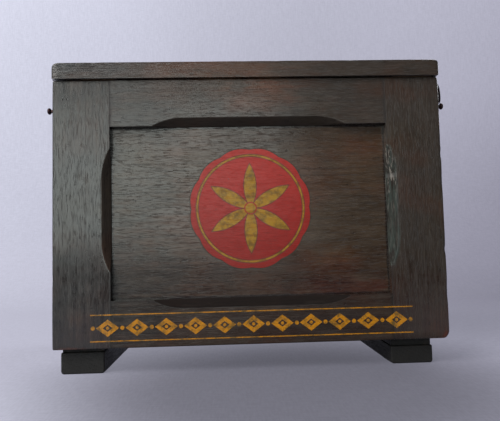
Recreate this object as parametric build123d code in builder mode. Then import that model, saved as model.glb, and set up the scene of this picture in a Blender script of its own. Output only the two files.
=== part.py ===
from build123d import *
from math import asin, cos, degrees, hypot, radians, sin, sqrt, tan
import os

# An oak first aid case: a box with a framed and stop-chamfered front, a flat
# lid on inset stop hinges, two runners for feet, and a hook and stud at each side.
# Millimetres. +X is the case's right as seen from the front, -Y is the front, +Z is up.
# The origin is on the floor, under the middle of the whole outline.

# Overall sizes
case_width = 330.0
case_depth = 180.0
carcass_height = 224.0
foot_height = 21.5
lid_thickness = 14.0
lid_front_overhang = 3.5
lid_gap = 0.5
lid_open_angle = 100.0

# Front frame
frame_thickness = 18.5
stile_width = 47.5
top_rail_width = 40.0
bottom_rail_width = 38.5
tenon_length = 30.0
tenon_shoulder = 6.0
mortise_end_gap = 1.0

# Front panel, in a groove all round
panel_recess = 7.2
panel_thickness = 6.0
panel_groove_depth = 7.0
panel_edge_gap = 1.0

# Stopped chamfers on the frame's four inner edges
chamfer_leg = 6.7
chamfer_cutter_radius = 76.0
rail_chamfer_stop = 35.0
stile_chamfer_top_stop = 18.0
stile_chamfer_bottom_stop = 23.0

# Sides, back and bottom, tongued into each other
side_thickness = 12.5
back_thickness = 16.0
bottom_thickness = 12.0
tongue_thickness = 5.0
tongue_depth = 5.0
bottom_tongue_thickness = 6.0
joint_clearance = 0.1
arris_radius = 0.8
lid_end_radius = 2.0

# Runners and the strips that pack them off the bottom board
runner_width = 36.0
runner_end_setback = 8.0
runner_arris_radius = 2.0
left_runner_inset = 4.6
right_runner_inset = 12.5
left_strip_thickness = 3.5
right_strip_thickness = 6.5
strip_edge_inset = 1.0
strip_end_inset = 2.0

# Lid battens
batten_width = 28.0
batten_thickness = 9.0
batten_side_inset = 70.0
batten_front_gap = 3.0
batten_back_gap = 4.0
batten_end_bevel = 4.0

# Butt hinges, set in from the back
hinge_side_inset = 65.0
hinge_length = 44.0
hinge_pivot_inset = 4.0
leaf_width = 10.5
leaf_thickness = 1.5
barrel_radius = 2.6
knuckle_count = 3
knuckle_gap = 0.3
pin_radius = 1.2
pin_clearance = 0.04
barrel_pocket_clearance = 0.3
hinge_screw_count = 2
hinge_screw_margin = 9.0
hinge_screw_length = 11.0

# Countersunk wood screws
screw_shank_radius = 1.4
screw_head_height = 1.0
screw_head_radius = screw_shank_radius + screw_head_height
screw_clearance = 0.06

# Studs in the edges of the front stiles
stud_setback = 7.0
stud_drop = 24.4
stud_neck_radius = 1.3
stud_neck_length = 2.8
stud_head_radius = 2.8
stud_head_thickness = 3.3
stud_head_bevel = 0.9
stud_shank_length = 14.0

# Hooks on the lid's side edges
hook_pivot_setback = 14.0
hook_engaged_angle = 7.0
hook_open_swing = 90.0
hook_plate_thickness = 1.4
hook_boss_radius = 4.2
hook_arm_width = 4.4
hook_end_radius = 4.7
hook_lip_length = 2.0
hook_slot_clearance = 0.35
hook_standoff = 0.3
lug_top_radius = 1.0
lug_bottom_radius = 2.9
lug_top_standoff = 2.6
lug_bottom_standoff = 4.4
lug_stud_clearance = 1.6

# Pivot screws of the hooks
pivot_shank_radius = 1.6
pivot_clearance = 0.05
pivot_head_radius = 3.3
pivot_head_thickness = 2.0
pivot_shank_length = 15.0
pivot_slot_width = 0.7
pivot_slot_depth = 0.8
pivot_play = 0.1

# Derived places
front_y = lid_front_overhang / 2 - case_depth / 2
back_y = front_y + case_depth
base_z = foot_height
top_z = base_z + carcass_height
lid_under_z = top_z + lid_gap
lid_top_z = lid_under_z + lid_thickness
half_width = case_width / 2
inner_half_width = half_width - side_thickness
front_inner_y = front_y + frame_thickness
back_inner_y = back_y - back_thickness
opening_half_width = half_width - stile_width
opening_top_z = top_z - top_rail_width
opening_bottom_z = base_z + bottom_rail_width
panel_front_y = front_y + panel_recess
pivot_y = back_y - hinge_pivot_inset
pivot_z = top_z + lid_gap / 2
bevel_drop = hinge_pivot_inset * tan(radians(lid_open_angle / 2))
stud_y = front_y + stud_setback
stud_z = top_z - stud_drop
hook_pivot_y = front_y + hook_pivot_setback
hook_pivot_z = lid_under_z + lid_thickness / 2

os.makedirs("parts", exist_ok=True)


def spread(count, length, margin):
    """Places of count things along a length, the end ones a margin from its ends."""
    step = (length - 2 * margin) / (count - 1)
    return [margin - length / 2 + step * i for i in range(count)]


def write(piece, name):
    """Label a finished piece and write its STEP file."""
    piece.part.label = name
    export_step(piece.part, f"parts/{name}.step")


def block(x, y, z, mode=Mode.ADD):
    """A box between two x, two y and two z values, inside the current part."""
    with Locations(((x[0] + x[1]) / 2, (y[0] + y[1]) / 2, (z[0] + z[1]) / 2)):
        Box(abs(x[1] - x[0]), abs(y[1] - y[0]), abs(z[1] - z[0]), mode=mode)


# Stopped chamfer: a 45 degree chamfer along +X that a round cutter leaves at both ends.
# The wood lies on the +Y and +Z sides of the edge, and the cutter lifts along their bisector.
def stopped_chamfer(length):
    depth = chamfer_leg / sqrt(2)
    run_out = sqrt(chamfer_cutter_radius**2 - (chamfer_cutter_radius - depth) ** 2)
    lift_plane = Plane(origin=(0, 0, 0), x_dir=(1, 0, 0), z_dir=(0, -1, 1))
    with BuildPart() as cutter:
        with BuildSketch(lift_plane):
            with BuildLine():
                RadiusArc((0, 0), (run_out, depth), chamfer_cutter_radius)
                Line((run_out, depth), (length - run_out, depth))
                RadiusArc((length - run_out, depth), (length, 0), chamfer_cutter_radius)
                Polyline((length, 0), (length, -depth), (0, -depth), (0, 0))
            make_face()
        extrude(amount=2 * chamfer_leg, both=True)
    return cutter.part


def wood_screw(length):
    """A countersunk screw along -Z, with the top of its head at the origin."""
    with BuildPart() as screw:
        with BuildSketch(Plane.XZ):
            with BuildLine():
                Polyline(
                    (0, 0),
                    (screw_head_radius, 0),
                    (screw_shank_radius, -screw_head_height),
                    (screw_shank_radius, -length),
                    (0, -length),
                    close=True,
                )
            make_face()
        revolve(axis=Axis.Z)
    return screw.part


def upturned(x, y, z):
    """The place of something that is made along -Z and has to point up from here."""
    return Location((x, y, z), (180, 0, 0))


def pilot_hole(radius, length):
    """A hole along -Z for the shank of a screw or a stud, at the current locations."""
    Hole(radius=radius + screw_clearance, depth=length + screw_clearance)


def back_bevel(edge_z, rise):
    """What the bevel takes off, from over the hinge pivot out through the back face."""
    with BuildPart() as wedge:
        with BuildSketch(Plane.YZ):
            with BuildLine():
                Polyline(
                    (pivot_y, edge_z),
                    (back_y, edge_z + rise),
                    (back_y + barrel_radius, edge_z + rise),
                    (back_y + barrel_radius, edge_z - rise),
                    (pivot_y, edge_z - rise),
                    close=True,
                )
            make_face()
        extrude(amount=case_width, both=True)
    return wedge.part


def hinge_recess(side):
    """Sink both hinges' leaves and barrels into the lid (side +1) or the carcass (side -1)."""
    face_z = pivot_z + side * lid_gap / 2
    for centre in hinge_centres:
        block(
            (centre - hinge_length / 2 - joint_clearance, centre + hinge_length / 2 + joint_clearance),
            (pivot_y - leaf_width - joint_clearance, pivot_y),
            (face_z - side * lid_gap, face_z + side * leaf_thickness),
            mode=Mode.SUBTRACT,
        )
        with Locations(Location((centre, pivot_y, pivot_z), (0, 90, 0))):
            Cylinder(
                barrel_radius + barrel_pocket_clearance,
                hinge_length + 2 * barrel_pocket_clearance,
                mode=Mode.SUBTRACT,
            )


hinge_centre = half_width - hinge_side_inset
hinge_centres = (-hinge_centre, hinge_centre)
hinge_screw_x = [
    centre + offset
    for centre in hinge_centres
    for offset in spread(hinge_screw_count, hinge_length, hinge_screw_margin)
]
hinge_screw_y = pivot_y - barrel_radius - (leaf_width - barrel_radius) / 2

# Front frame: rails tenoned into full-height stiles, grooved for the panel
rail_chamfer_length = 2 * (opening_half_width - rail_chamfer_stop)
stile_chamfer_length = (
    opening_top_z - opening_bottom_z - stile_chamfer_top_stop - stile_chamfer_bottom_stop
)
rail_chamfer = stopped_chamfer(rail_chamfer_length)
stile_chamfer = stopped_chamfer(stile_chamfer_length)
groove_y = (panel_front_y, panel_front_y + panel_thickness)
bottom_groove_z = (
    base_z + bottom_thickness - bottom_tongue_thickness - joint_clearance,
    base_z + bottom_thickness + joint_clearance,
)


def rail(outer_z, inner_z, tilt):
    """A rail between its outer and inner edges, its chamfer turned by tilt about Y."""
    inward = 1 if inner_z > outer_z else -1
    tenon_z = (outer_z + inward * tenon_shoulder, inner_z - inward * panel_groove_depth)
    tenon_reach = opening_half_width + tenon_length
    with BuildPart() as piece:
        block(
            (-opening_half_width, opening_half_width),
            (front_y, front_inner_y),
            (outer_z, inner_z),
        )
        if inward > 0:
            fillet(piece.edges().filter_by(Axis.X).group_by(Axis.Z)[0].sort_by(Axis.Y)[0], arris_radius)
        block((-tenon_reach, tenon_reach), groove_y, tenon_z)
        block(
            (-opening_half_width, opening_half_width),
            groove_y,
            (inner_z, inner_z - inward * panel_groove_depth),
            mode=Mode.SUBTRACT,
        )
        start_x = -inward * (rail_chamfer_stop - opening_half_width)
        with Locations(Location((start_x, front_y, inner_z), (0, tilt, 0))):
            add(rail_chamfer, mode=Mode.SUBTRACT)
        if inward > 0:
            block(
                (-opening_half_width, opening_half_width),
                (front_inner_y - tongue_depth - joint_clearance, front_inner_y),
                bottom_groove_z,
                mode=Mode.SUBTRACT,
            )
    return piece


front_top_rail = rail(top_z, opening_top_z, 0)
write(front_top_rail, "front_top_rail")
front_bottom_rail = rail(base_z, opening_bottom_z, 180)
write(front_bottom_rail, "front_bottom_rail")


def stile(side):
    """The stile on the left (side -1) or the right (side +1) of the front."""
    outer_x = side * half_width
    inner_x = side * opening_half_width
    mortise_x = (inner_x, inner_x + side * (tenon_length + mortise_end_gap))
    mortise_y = (groove_y[0] - joint_clearance, groove_y[1] + joint_clearance)
    tongue_x = side * (inner_half_width + side_thickness / 2)
    with BuildPart() as piece:
        block((inner_x, outer_x), (front_y, front_inner_y), (base_z, top_z))
        corner = piece.edges().filter_by(Axis.Z).group_by(Axis.Y)[0].sort_by(Axis.X)
        fillet(corner[0] if side < 0 else corner[-1], arris_radius)
        block(
            (inner_x, inner_x + side * panel_groove_depth),
            groove_y,
            (opening_bottom_z - panel_groove_depth, opening_top_z + panel_groove_depth),
            mode=Mode.SUBTRACT,
        )
        for outer_z, inner_z, inward in (
            (top_z, opening_top_z, -1),
            (base_z, opening_bottom_z, 1),
        ):
            mortise_z = (
                outer_z + inward * (tenon_shoulder - joint_clearance),
                inner_z - inward * panel_groove_depth,
            )
            block(mortise_x, mortise_y, mortise_z, mode=Mode.SUBTRACT)
        start_z = opening_bottom_z + stile_chamfer_bottom_stop
        if side > 0:
            start_z = start_z + stile_chamfer_length
        with Locations(Location((inner_x, front_y, start_z), (0, side * 90, 0))):
            add(stile_chamfer, mode=Mode.SUBTRACT)
        block(
            (
                tongue_x - tongue_thickness / 2 - joint_clearance,
                tongue_x + tongue_thickness / 2 + joint_clearance,
            ),
            (front_inner_y - tongue_depth - mortise_end_gap, front_inner_y),
            (base_z, top_z),
            mode=Mode.SUBTRACT,
        )
        block(
            (inner_x, side * inner_half_width),
            (front_inner_y - tongue_depth - joint_clearance, front_inner_y),
            bottom_groove_z,
            mode=Mode.SUBTRACT,
        )
        with Locations(Location((outer_x, stud_y, stud_z), (0, side * 90, 0))):
            pilot_hole(stud_neck_radius, stud_shank_length)
    return piece


front_left_stile = stile(-1)
write(front_left_stile, "front_left_stile")
front_right_stile = stile(1)
write(front_right_stile, "front_right_stile")

# Front panel, loose in its groove by a small gap all round
panel_margin = panel_groove_depth - panel_edge_gap
with BuildPart() as front_panel:
    block(
        (-opening_half_width - panel_margin, opening_half_width + panel_margin),
        groove_y,
        (opening_bottom_z - panel_margin, opening_top_z + panel_margin),
    )
write(front_panel, "front_panel")


def side_board(side):
    """A side board, tongued into the front stile and grooved for the back and the bottom."""
    inner_x = side * inner_half_width
    outer_x = side * half_width
    tongue_x = side * (inner_half_width + side_thickness / 2)
    back_tongue_y = back_y - back_thickness / 2
    with BuildPart() as piece:
        block((inner_x, outer_x), (front_inner_y, back_y), (base_z, top_z))
        block(
            (tongue_x - tongue_thickness / 2, tongue_x + tongue_thickness / 2),
            (front_inner_y - tongue_depth, front_inner_y),
            (base_z, top_z),
        )
        block(
            (inner_x, inner_x + side * (tongue_depth + joint_clearance)),
            (
                back_tongue_y - tongue_thickness / 2 - joint_clearance,
                back_tongue_y + tongue_thickness / 2 + joint_clearance,
            ),
            (base_z, top_z),
            mode=Mode.SUBTRACT,
        )
        block(
            (inner_x, inner_x + side * (tongue_depth + joint_clearance)),
            (front_inner_y, back_inner_y),
            bottom_groove_z,
            mode=Mode.SUBTRACT,
        )
        add(back_bevel(top_z, -bevel_drop), mode=Mode.SUBTRACT)
    return piece


left_side_board = side_board(-1)
write(left_side_board, "left_side_board")
right_side_board = side_board(1)
write(right_side_board, "right_side_board")

# Back board, between the sides, which carries the hinges in its top edge
with BuildPart() as back_board:
    block((-inner_half_width, inner_half_width), (back_inner_y, back_y), (base_z, top_z))
    block(
        (-inner_half_width - tongue_depth, inner_half_width + tongue_depth),
        (
            back_y - (back_thickness + tongue_thickness) / 2,
            back_y - (back_thickness - tongue_thickness) / 2,
        ),
        (base_z, top_z),
    )
    block(
        (-inner_half_width, inner_half_width),
        (back_inner_y, back_inner_y + tongue_depth + joint_clearance),
        bottom_groove_z,
        mode=Mode.SUBTRACT,
    )
    add(back_bevel(top_z, -bevel_drop), mode=Mode.SUBTRACT)
    hinge_recess(-1)
    with Locations([(x, hinge_screw_y, top_z - leaf_thickness) for x in hinge_screw_x]):
        pilot_hole(screw_shank_radius, hinge_screw_length - leaf_thickness)
write(back_board, "back_board")

# Runners, each packed off the bottom board by a strip
runner_length = case_depth - 2 * runner_end_setback
runner_x = {
    "left": -half_width + left_runner_inset + runner_width / 2,
    "right": half_width - right_runner_inset - runner_width / 2,
}
strip_thickness = {"left": left_strip_thickness, "right": right_strip_thickness}
case_middle_y = (front_y + back_y) / 2

# Bottom board, flush underneath, with a tongue on each edge
with BuildPart() as bottom_board:
    block(
        (-inner_half_width, inner_half_width),
        (front_inner_y, back_inner_y),
        (base_z, base_z + bottom_thickness),
    )
    tongue_z = (base_z + bottom_thickness - bottom_tongue_thickness, base_z + bottom_thickness)
    block(
        (-inner_half_width - tongue_depth, inner_half_width + tongue_depth),
        (front_inner_y, back_inner_y),
        tongue_z,
    )
    block(
        (-inner_half_width, inner_half_width),
        (front_inner_y - tongue_depth, back_inner_y + tongue_depth),
        tongue_z,
    )
write(bottom_board, "bottom_board")

for hand, middle_x in runner_x.items():
    runner_top = foot_height - strip_thickness[hand]
    half_run = runner_width / 2
    with BuildPart() as runner:
        block(
            (middle_x - half_run, middle_x + half_run),
            (case_middle_y - runner_length / 2, case_middle_y + runner_length / 2),
            (0, runner_top),
        )
        fillet(runner.faces().sort_by(Axis.Z)[0].edges(), runner_arris_radius)
    write(runner, f"{hand}_runner")
    with BuildPart() as strip:
        block(
            (middle_x - half_run + strip_edge_inset, middle_x + half_run - strip_edge_inset),
            (
                case_middle_y - runner_length / 2 + strip_end_inset,
                case_middle_y + runner_length / 2 - strip_end_inset,
            ),
            (runner_top, foot_height),
        )
    write(strip, f"{hand}_packing_strip")

# Lid battens, glued under the lid, which drop inside the case and keep the lid flat
batten_front_y = front_inner_y + batten_front_gap
batten_back_y = back_inner_y - batten_back_gap
batten_x = {"left": batten_side_inset - half_width, "right": half_width - batten_side_inset}
batten_under_z = lid_under_z - batten_thickness
for hand, middle_x in batten_x.items():
    with BuildPart() as batten:
        block(
            (middle_x - batten_width / 2, middle_x + batten_width / 2),
            (batten_front_y, batten_back_y),
            (batten_under_z, lid_under_z),
        )
        chamfer(batten.faces().sort_by(Axis.Z)[0].edges(), batten_end_bevel)
    write(batten, f"{hand}_lid_batten")

# Lid board, flush with the sides and back, proud of the front
with BuildPart() as lid_board:
    block(
        (-half_width, half_width),
        (front_y - lid_front_overhang, back_y),
        (lid_under_z, lid_top_z),
    )
    fillet(lid_board.edges().filter_by(Axis.Y), lid_end_radius)
    add(back_bevel(lid_under_z, bevel_drop), mode=Mode.SUBTRACT)
    hinge_recess(1)
    leaf_seat_z = lid_under_z + leaf_thickness
    with Locations([upturned(x, hinge_screw_y, leaf_seat_z) for x in hinge_screw_x]):
        pilot_hole(screw_shank_radius, hinge_screw_length - leaf_thickness)
    for side in (-1, 1):
        with Locations(Location((side * half_width, hook_pivot_y, hook_pivot_z), (0, side * 90, 0))):
            pilot_hole(pivot_shank_radius, pivot_shank_length)
write(lid_board, "lid_board")

# Hinges: the carcass leaf has the outer knuckles, the lid leaf the ones between
knuckle_length = (hinge_length - (knuckle_count - 1) * knuckle_gap) / knuckle_count


def hinge_leaf(centre, side):
    """The leaf let into the lid (side +1) or into the carcass (side -1)."""
    face_z = pivot_z + side * lid_gap / 2
    leaf_z = (face_z, face_z + side * leaf_thickness)
    first = 0 if side < 0 else 1
    knuckle_x = [
        centre - hinge_length / 2 + knuckle_length / 2 + i * (knuckle_length + knuckle_gap)
        for i in range(first, knuckle_count, 2)
    ]
    with BuildPart() as leaf:
        block(
            (centre - hinge_length / 2, centre + hinge_length / 2),
            (pivot_y - leaf_width, pivot_y - barrel_radius - barrel_pocket_clearance),
            leaf_z,
        )
        for x in knuckle_x:
            block(
                (x - knuckle_length / 2, x + knuckle_length / 2),
                (pivot_y - leaf_width / 2, pivot_y),
                leaf_z,
            )
        with Locations([Location((x, pivot_y, pivot_z), (0, 90, 0)) for x in knuckle_x]):
            Cylinder(barrel_radius, knuckle_length)
        with Locations(Location((centre, pivot_y, pivot_z), (0, 90, 0))):
            Cylinder(pin_radius + pin_clearance, hinge_length, mode=Mode.SUBTRACT)
        place = Pos if side < 0 else upturned
        screws_here = [x for x in hinge_screw_x if abs(x - centre) < hinge_length / 2]
        with Locations([place(x, hinge_screw_y, face_z) for x in screws_here]):
            CounterSinkHole(
                radius=screw_shank_radius + screw_clearance,
                counter_sink_radius=screw_head_radius + screw_clearance,
                depth=leaf_thickness,
                counter_sink_angle=90,
            )
    return leaf


hinge_screw = wood_screw(hinge_screw_length)
for hand, centre in zip(("left", "right"), hinge_centres):
    write(hinge_leaf(centre, -1), f"{hand}_hinge_carcass_leaf")
    write(hinge_leaf(centre, 1), f"{hand}_hinge_lid_leaf")
    with BuildPart() as pin:
        with Locations(Location((centre, pivot_y, pivot_z), (0, 90, 0))):
            Cylinder(pin_radius, hinge_length)
    write(pin, f"{hand}_hinge_pin")

with BuildPart() as hinge_carcass_screws:
    with Locations([(x, hinge_screw_y, top_z) for x in hinge_screw_x]):
        add(hinge_screw)
write(hinge_carcass_screws, "hinge_carcass_screws")
with BuildPart() as hinge_lid_screws:
    with Locations([upturned(x, hinge_screw_y, lid_under_z) for x in hinge_screw_x]):
        add(hinge_screw)
write(hinge_lid_screws, "hinge_lid_screws")


def side_turning(side, place_y, place_z, outline):
    """A turned fitting standing out of one side: outline is (distance out, radius) points."""
    with BuildPart() as turning:
        turn_plane = Plane(
            origin=(side * half_width, place_y, place_z), x_dir=(side, 0, 0), z_dir=(0, -side, 0)
        )
        with BuildSketch(turn_plane):
            with BuildLine():
                Polyline(*outline, close=True)
            make_face()
        revolve(axis=Axis((0, place_y, place_z), (1, 0, 0)))
    return turning


# Catch studs: a shank in the stile, a neck, and a head with a bevelled face
stud_out = stud_neck_length + stud_head_thickness
stud_outline = [
    (-stud_shank_length, 0),
    (-stud_shank_length, stud_neck_radius),
    (stud_neck_length, stud_neck_radius),
    (stud_neck_length, stud_head_radius),
    (stud_out - stud_head_bevel, stud_head_radius),
    (stud_out, stud_head_radius - stud_head_bevel),
    (stud_out, 0),
]
head_in = hook_standoff + hook_plate_thickness + pivot_play
head_out = head_in + pivot_head_thickness
pivot_outline = [
    (-pivot_shank_length, 0),
    (-pivot_shank_length, pivot_shank_radius),
    (head_in, pivot_shank_radius),
    (head_in, pivot_head_radius),
    (head_out, pivot_head_radius),
    (head_out, 0),
]
for hand, side in (("left", -1), ("right", 1)):
    write(side_turning(side, stud_y, stud_z, stud_outline), f"{hand}_catch_stud")
    with BuildPart() as pivot_screw:
        add(side_turning(side, hook_pivot_y, hook_pivot_z, pivot_outline).part)
        block(
            (side * (half_width + head_out - pivot_slot_depth), side * (half_width + head_out)),
            (hook_pivot_y - pivot_head_radius, hook_pivot_y + pivot_head_radius),
            (hook_pivot_z - pivot_slot_width / 2, hook_pivot_z + pivot_slot_width / 2),
            mode=Mode.SUBTRACT,
        )
    write(pivot_screw, f"{hand}_hook_screw")

# Hooks: a flat plate that hangs from its boss, with a slot that swings round the
# stud's neck, and a drop-shaped lug on the arm to lift it by. Sketched with x towards
# the back and y up from the pivot, in the plane of the case's right side.
stud_reach = hypot(hook_pivot_setback - stud_setback, hook_pivot_z - stud_z)
stud_angle = asin((hook_pivot_setback - stud_setback) / stud_reach)
seat_angle = stud_angle - radians(hook_engaged_angle)
seat = (-stud_reach * sin(seat_angle), -stud_reach * cos(seat_angle))
slot_radius = stud_neck_radius + hook_slot_clearance
lip_x = seat[0] - hook_lip_length
slot_sweep = degrees((hook_lip_length + hook_end_radius) / stud_reach)
slot_start = -90 - degrees(seat_angle) - slot_sweep
hook_plane = Plane(
    origin=(half_width + hook_standoff, hook_pivot_y, hook_pivot_z), x_dir=(0, 1, 0), z_dir=(1, 0, 0)
)
lug_plane = Plane(origin=(half_width, hook_pivot_y, hook_pivot_z), x_dir=(1, 0, 0), z_dir=(0, -1, 0))
lug_top = (lug_top_standoff, top_z - hook_pivot_z)
lug_bottom = (
    lug_bottom_standoff,
    stud_head_radius + lug_stud_clearance + lug_bottom_radius - stud_reach,
)

with BuildPart() as right_hook:
    with BuildSketch(hook_plane):
        Circle(hook_boss_radius)
        with Locations((0, -stud_reach / 2)):
            Rectangle(hook_arm_width, stud_reach - hook_end_radius / 2)
        with Locations(seat):
            Circle(hook_end_radius)
        with Locations((lip_x - hook_end_radius, seat[1])):
            Rectangle(2 * hook_end_radius, 3 * hook_end_radius, mode=Mode.SUBTRACT)
        with Locations(seat):
            Circle(slot_radius, mode=Mode.SUBTRACT)
        with BuildLine(mode=Mode.PRIVATE) as slot_edge:
            CenterArc((0, 0), stud_reach - slot_radius, slot_start, slot_sweep)
            CenterArc((0, 0), stud_reach + slot_radius, slot_start, slot_sweep)
            Line(slot_edge.edges()[0] @ 0, slot_edge.edges()[1] @ 0)
            Line(slot_edge.edges()[0] @ 1, slot_edge.edges()[1] @ 1)
        make_face(slot_edge.edges(), mode=Mode.SUBTRACT)
        Circle(pivot_shank_radius + pivot_clearance, mode=Mode.SUBTRACT)
    extrude(amount=hook_plate_thickness)
    with BuildSketch(lug_plane):
        with Locations(lug_top):
            Circle(lug_top_radius)
        with Locations(lug_bottom):
            Circle(lug_bottom_radius)
        make_hull()
    extrude(amount=hook_arm_width / 2, both=True)
write(right_hook, "right_hook")

# The left hook is the right one's mirror image, stored swung back along the lid's edge
hook_pivot_axis = Axis((0, hook_pivot_y, hook_pivot_z), (1, 0, 0))
swung_hook = mirror(right_hook.part, about=Plane.YZ).rotate(hook_pivot_axis, hook_open_swing)
with BuildPart() as left_hook:
    add(swung_hook)
write(left_hook, "left_hook")

print("lid pivot", round(pivot_y, 3), round(pivot_z, 3))
print("hook pivot", round(hook_pivot_y, 3), round(hook_pivot_z, 3))
print("stud", round(stud_y, 3), round(stud_z, 3), "lid top", lid_top_z)
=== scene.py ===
"""An oak first aid case in the studio: its boards, painted ornament, hinges, hooks and feet.

Everything is in metres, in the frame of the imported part: +X is the case's right as seen
from the front, -Y is the front and +Z is up.
"""
import logging
import math
from dataclasses import dataclass, replace
from enum import Enum
from typing import Callable, Optional, Sequence

import bmesh
import bpy
from mathutils import Matrix, Vector, noise


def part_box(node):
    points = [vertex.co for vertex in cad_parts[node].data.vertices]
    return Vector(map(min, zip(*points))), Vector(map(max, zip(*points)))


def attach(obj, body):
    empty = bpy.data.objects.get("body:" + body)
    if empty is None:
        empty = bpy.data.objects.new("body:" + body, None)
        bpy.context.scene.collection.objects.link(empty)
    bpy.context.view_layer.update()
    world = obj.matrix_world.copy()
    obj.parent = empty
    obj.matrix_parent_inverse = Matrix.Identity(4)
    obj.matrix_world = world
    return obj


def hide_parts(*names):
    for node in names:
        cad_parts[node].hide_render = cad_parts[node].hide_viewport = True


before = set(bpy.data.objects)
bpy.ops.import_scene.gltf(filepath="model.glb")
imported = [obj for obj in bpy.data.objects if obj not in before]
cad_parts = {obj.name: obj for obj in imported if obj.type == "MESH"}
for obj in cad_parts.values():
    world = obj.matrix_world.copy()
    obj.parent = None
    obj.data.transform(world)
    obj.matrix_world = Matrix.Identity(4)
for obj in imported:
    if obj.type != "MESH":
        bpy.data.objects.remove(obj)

log = logging.getLogger("first_aid_case")

Mesh = bmesh.types.BMesh
Piece = bpy.types.Object
Material = bpy.types.Material
Span = tuple[float, float]
Place = tuple[float, float, float]
Colour = tuple[float, float, float]

MM = 0.001
LID_OPEN = math.radians(100.0)
BACK_THICK = 16.0 * MM
FRONT_DEPTH = 2.0 * MM
WELD_REACH = 0.002 * MM
SHARP_ANGLE = math.radians(38.0)
EASED_ANGLE = math.radians(35.0)
FLAT_ANGLE = math.radians(1.0)
FLAT_WEIGHT = 90
EASE_SEGMENTS = 2
LATHE_SIDES = 40
ORIGIN: Place = (0.0, 0.0, 0.0)
BLACK: Colour = (0.0, 0.0, 0.0)


class Grain(Enum):
    """Which way a board's grain runs."""

    X = 0
    Y = 1
    Z = 2


class PaintWork(Enum):
    """What is painted on a board."""

    NONE = "none"
    ROSETTE = "rosette"
    BORDER = "border"


class Body(Enum):
    """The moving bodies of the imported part."""

    CARCASS = "carcass"
    LID = "lid"
    LEFT_HOOK = "left_hook"
    RIGHT_HOOK = "right_hook"


# Shader building


@dataclass(frozen=True)
class Cloud:
    """A noise: its repeats per metre along each axis, its octaves and how strong the fine ones are.

    The limits, where it has them, turn it into marks: the ramp that it's put through.
    """

    stretch: Place
    detail: float = 2.0
    rough: float = 0.5
    limits: tuple[float, ...] = ()


class Wire:
    """A value on its way through a material; arithmetic on it adds the nodes."""

    def __init__(self, bench: "NodeBench", socket: bpy.types.NodeSocket) -> None:
        """Keep the bench and the output socket that the value comes from."""
        self.bench, self.socket = bench, socket

    def __add__(self, other: "Feed") -> "Wire":
        """Add a value."""
        return self.math("ADD", other)

    def __sub__(self, other: "Feed") -> "Wire":
        """Take a value away."""
        return self.math("SUBTRACT", other)

    def __rsub__(self, other: "Feed") -> "Wire":
        """Take this away from a value."""
        return self.bench.wire("ShaderNodeMath", (other, self), operation="SUBTRACT")

    def __mul__(self, other: "Feed") -> "Wire":
        """Multiply by a value."""
        return self.math("MULTIPLY", other)

    def __truediv__(self, other: "Feed") -> "Wire":
        """Divide by a value."""
        return self.math("DIVIDE", other)

    def __mod__(self, other: "Feed") -> "Wire":
        """Give what is left over after whole steps of a value."""
        return self.math("FLOORED_MODULO", other)

    def __abs__(self) -> "Wire":
        """Drop the sign."""
        return self.math("ABSOLUTE")

    __radd__ = __add__
    __rmul__ = __mul__

    def math(self, operation: str, other: "Feed" = 0.0) -> "Wire":
        """Put this and another value through a math node."""
        return self.bench.wire("ShaderNodeMath", (self, other), operation=operation)

    def vector(self, operation: str, other: "Feed") -> "Wire":
        """Put this and another vector through a vector math node."""
        return self.bench.wire("ShaderNodeVectorMath", (self, other), "Vector", operation=operation)

    def most(self, other: "Feed") -> "Wire":
        """Give the greater of this and another value."""
        return self.math("MAXIMUM", other)

    def least(self, other: "Feed") -> "Wire":
        """Give the smaller of this and another value."""
        return self.math("MINIMUM", other)

    def clamped(self) -> "Wire":
        """Keep the math node's result between 0 and 1."""
        self.socket.node.use_clamp = True
        return self

    def swing(self, amount: float) -> "Wire":
        """Centre a noise on 0 and scale it."""
        return (self - 0.5) * amount

    def distance(self, other: "Feed" = ORIGIN) -> "Wire":
        """Give the distance between this point and another."""
        return self.bench.wire("ShaderNodeVectorMath", (self, other), "Value", operation="DISTANCE")

    def reach(self, other: "Wire", centre: Span = (0.0, 0.0)) -> "Wire":
        """Give how far the flat point of this and another value is from a centre."""
        return self.bench.wire("ShaderNodeCombineXYZ", (self, other, 0.0)).distance((*centre, 0.0))

    def split(self) -> tuple["Wire", ...]:
        """Give a vector's x, y and z."""
        outputs = self.bench.wire("ShaderNodeSeparateXYZ", (self,)).socket.node.outputs
        return tuple(Wire(self.bench, socket) for socket in outputs)

    def noise(self, cloud: Cloud, output: str = "Fac") -> "Wire":
        """Add a noise over these coordinates.

        Args:
            cloud: The noise's measures.
            output: Fac for one value of about 0.5, or Color for three.

        Returns:
            The noise, or its marks.
        """
        scale = 1.0
        feeds = (self.vector("MULTIPLY", cloud.stretch), 0.0, scale, cloud.detail, cloud.rough)
        value = self.bench.wire("ShaderNodeTexNoise", feeds, output)
        return value.ramp(*cloud.limits) if cloud.limits else value

    def ramp(self, low: float, high: float, start: float = 0.0, end: float = 1.0) -> "Wire":
        """Remap the value smoothly, and clamp it.

        Args:
            low: The value that gives start.
            high: The value that gives end.
            start: The result at low.
            end: The result at high.

        Returns:
            The remapped value.
        """
        return self.bench.wire("ShaderNodeMapRange", (self, low, high, start, end),
                               interpolation_type="SMOOTHSTEP", clamp=True)

    def mixed(self, other: "Feed", share: "Feed") -> "Wire":
        """Mix a share of another colour into this one."""
        return self.bench.mix(share, self, other)

    def tinted(self, tint: Colour, share: "Feed") -> "Wire":
        """Multiply a share of this colour by a tint."""
        return self.mixed(self.bench.mix(1.0, self, tint, "MULTIPLY"), share)


Feed = Wire | float | tuple[float, ...]


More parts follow.
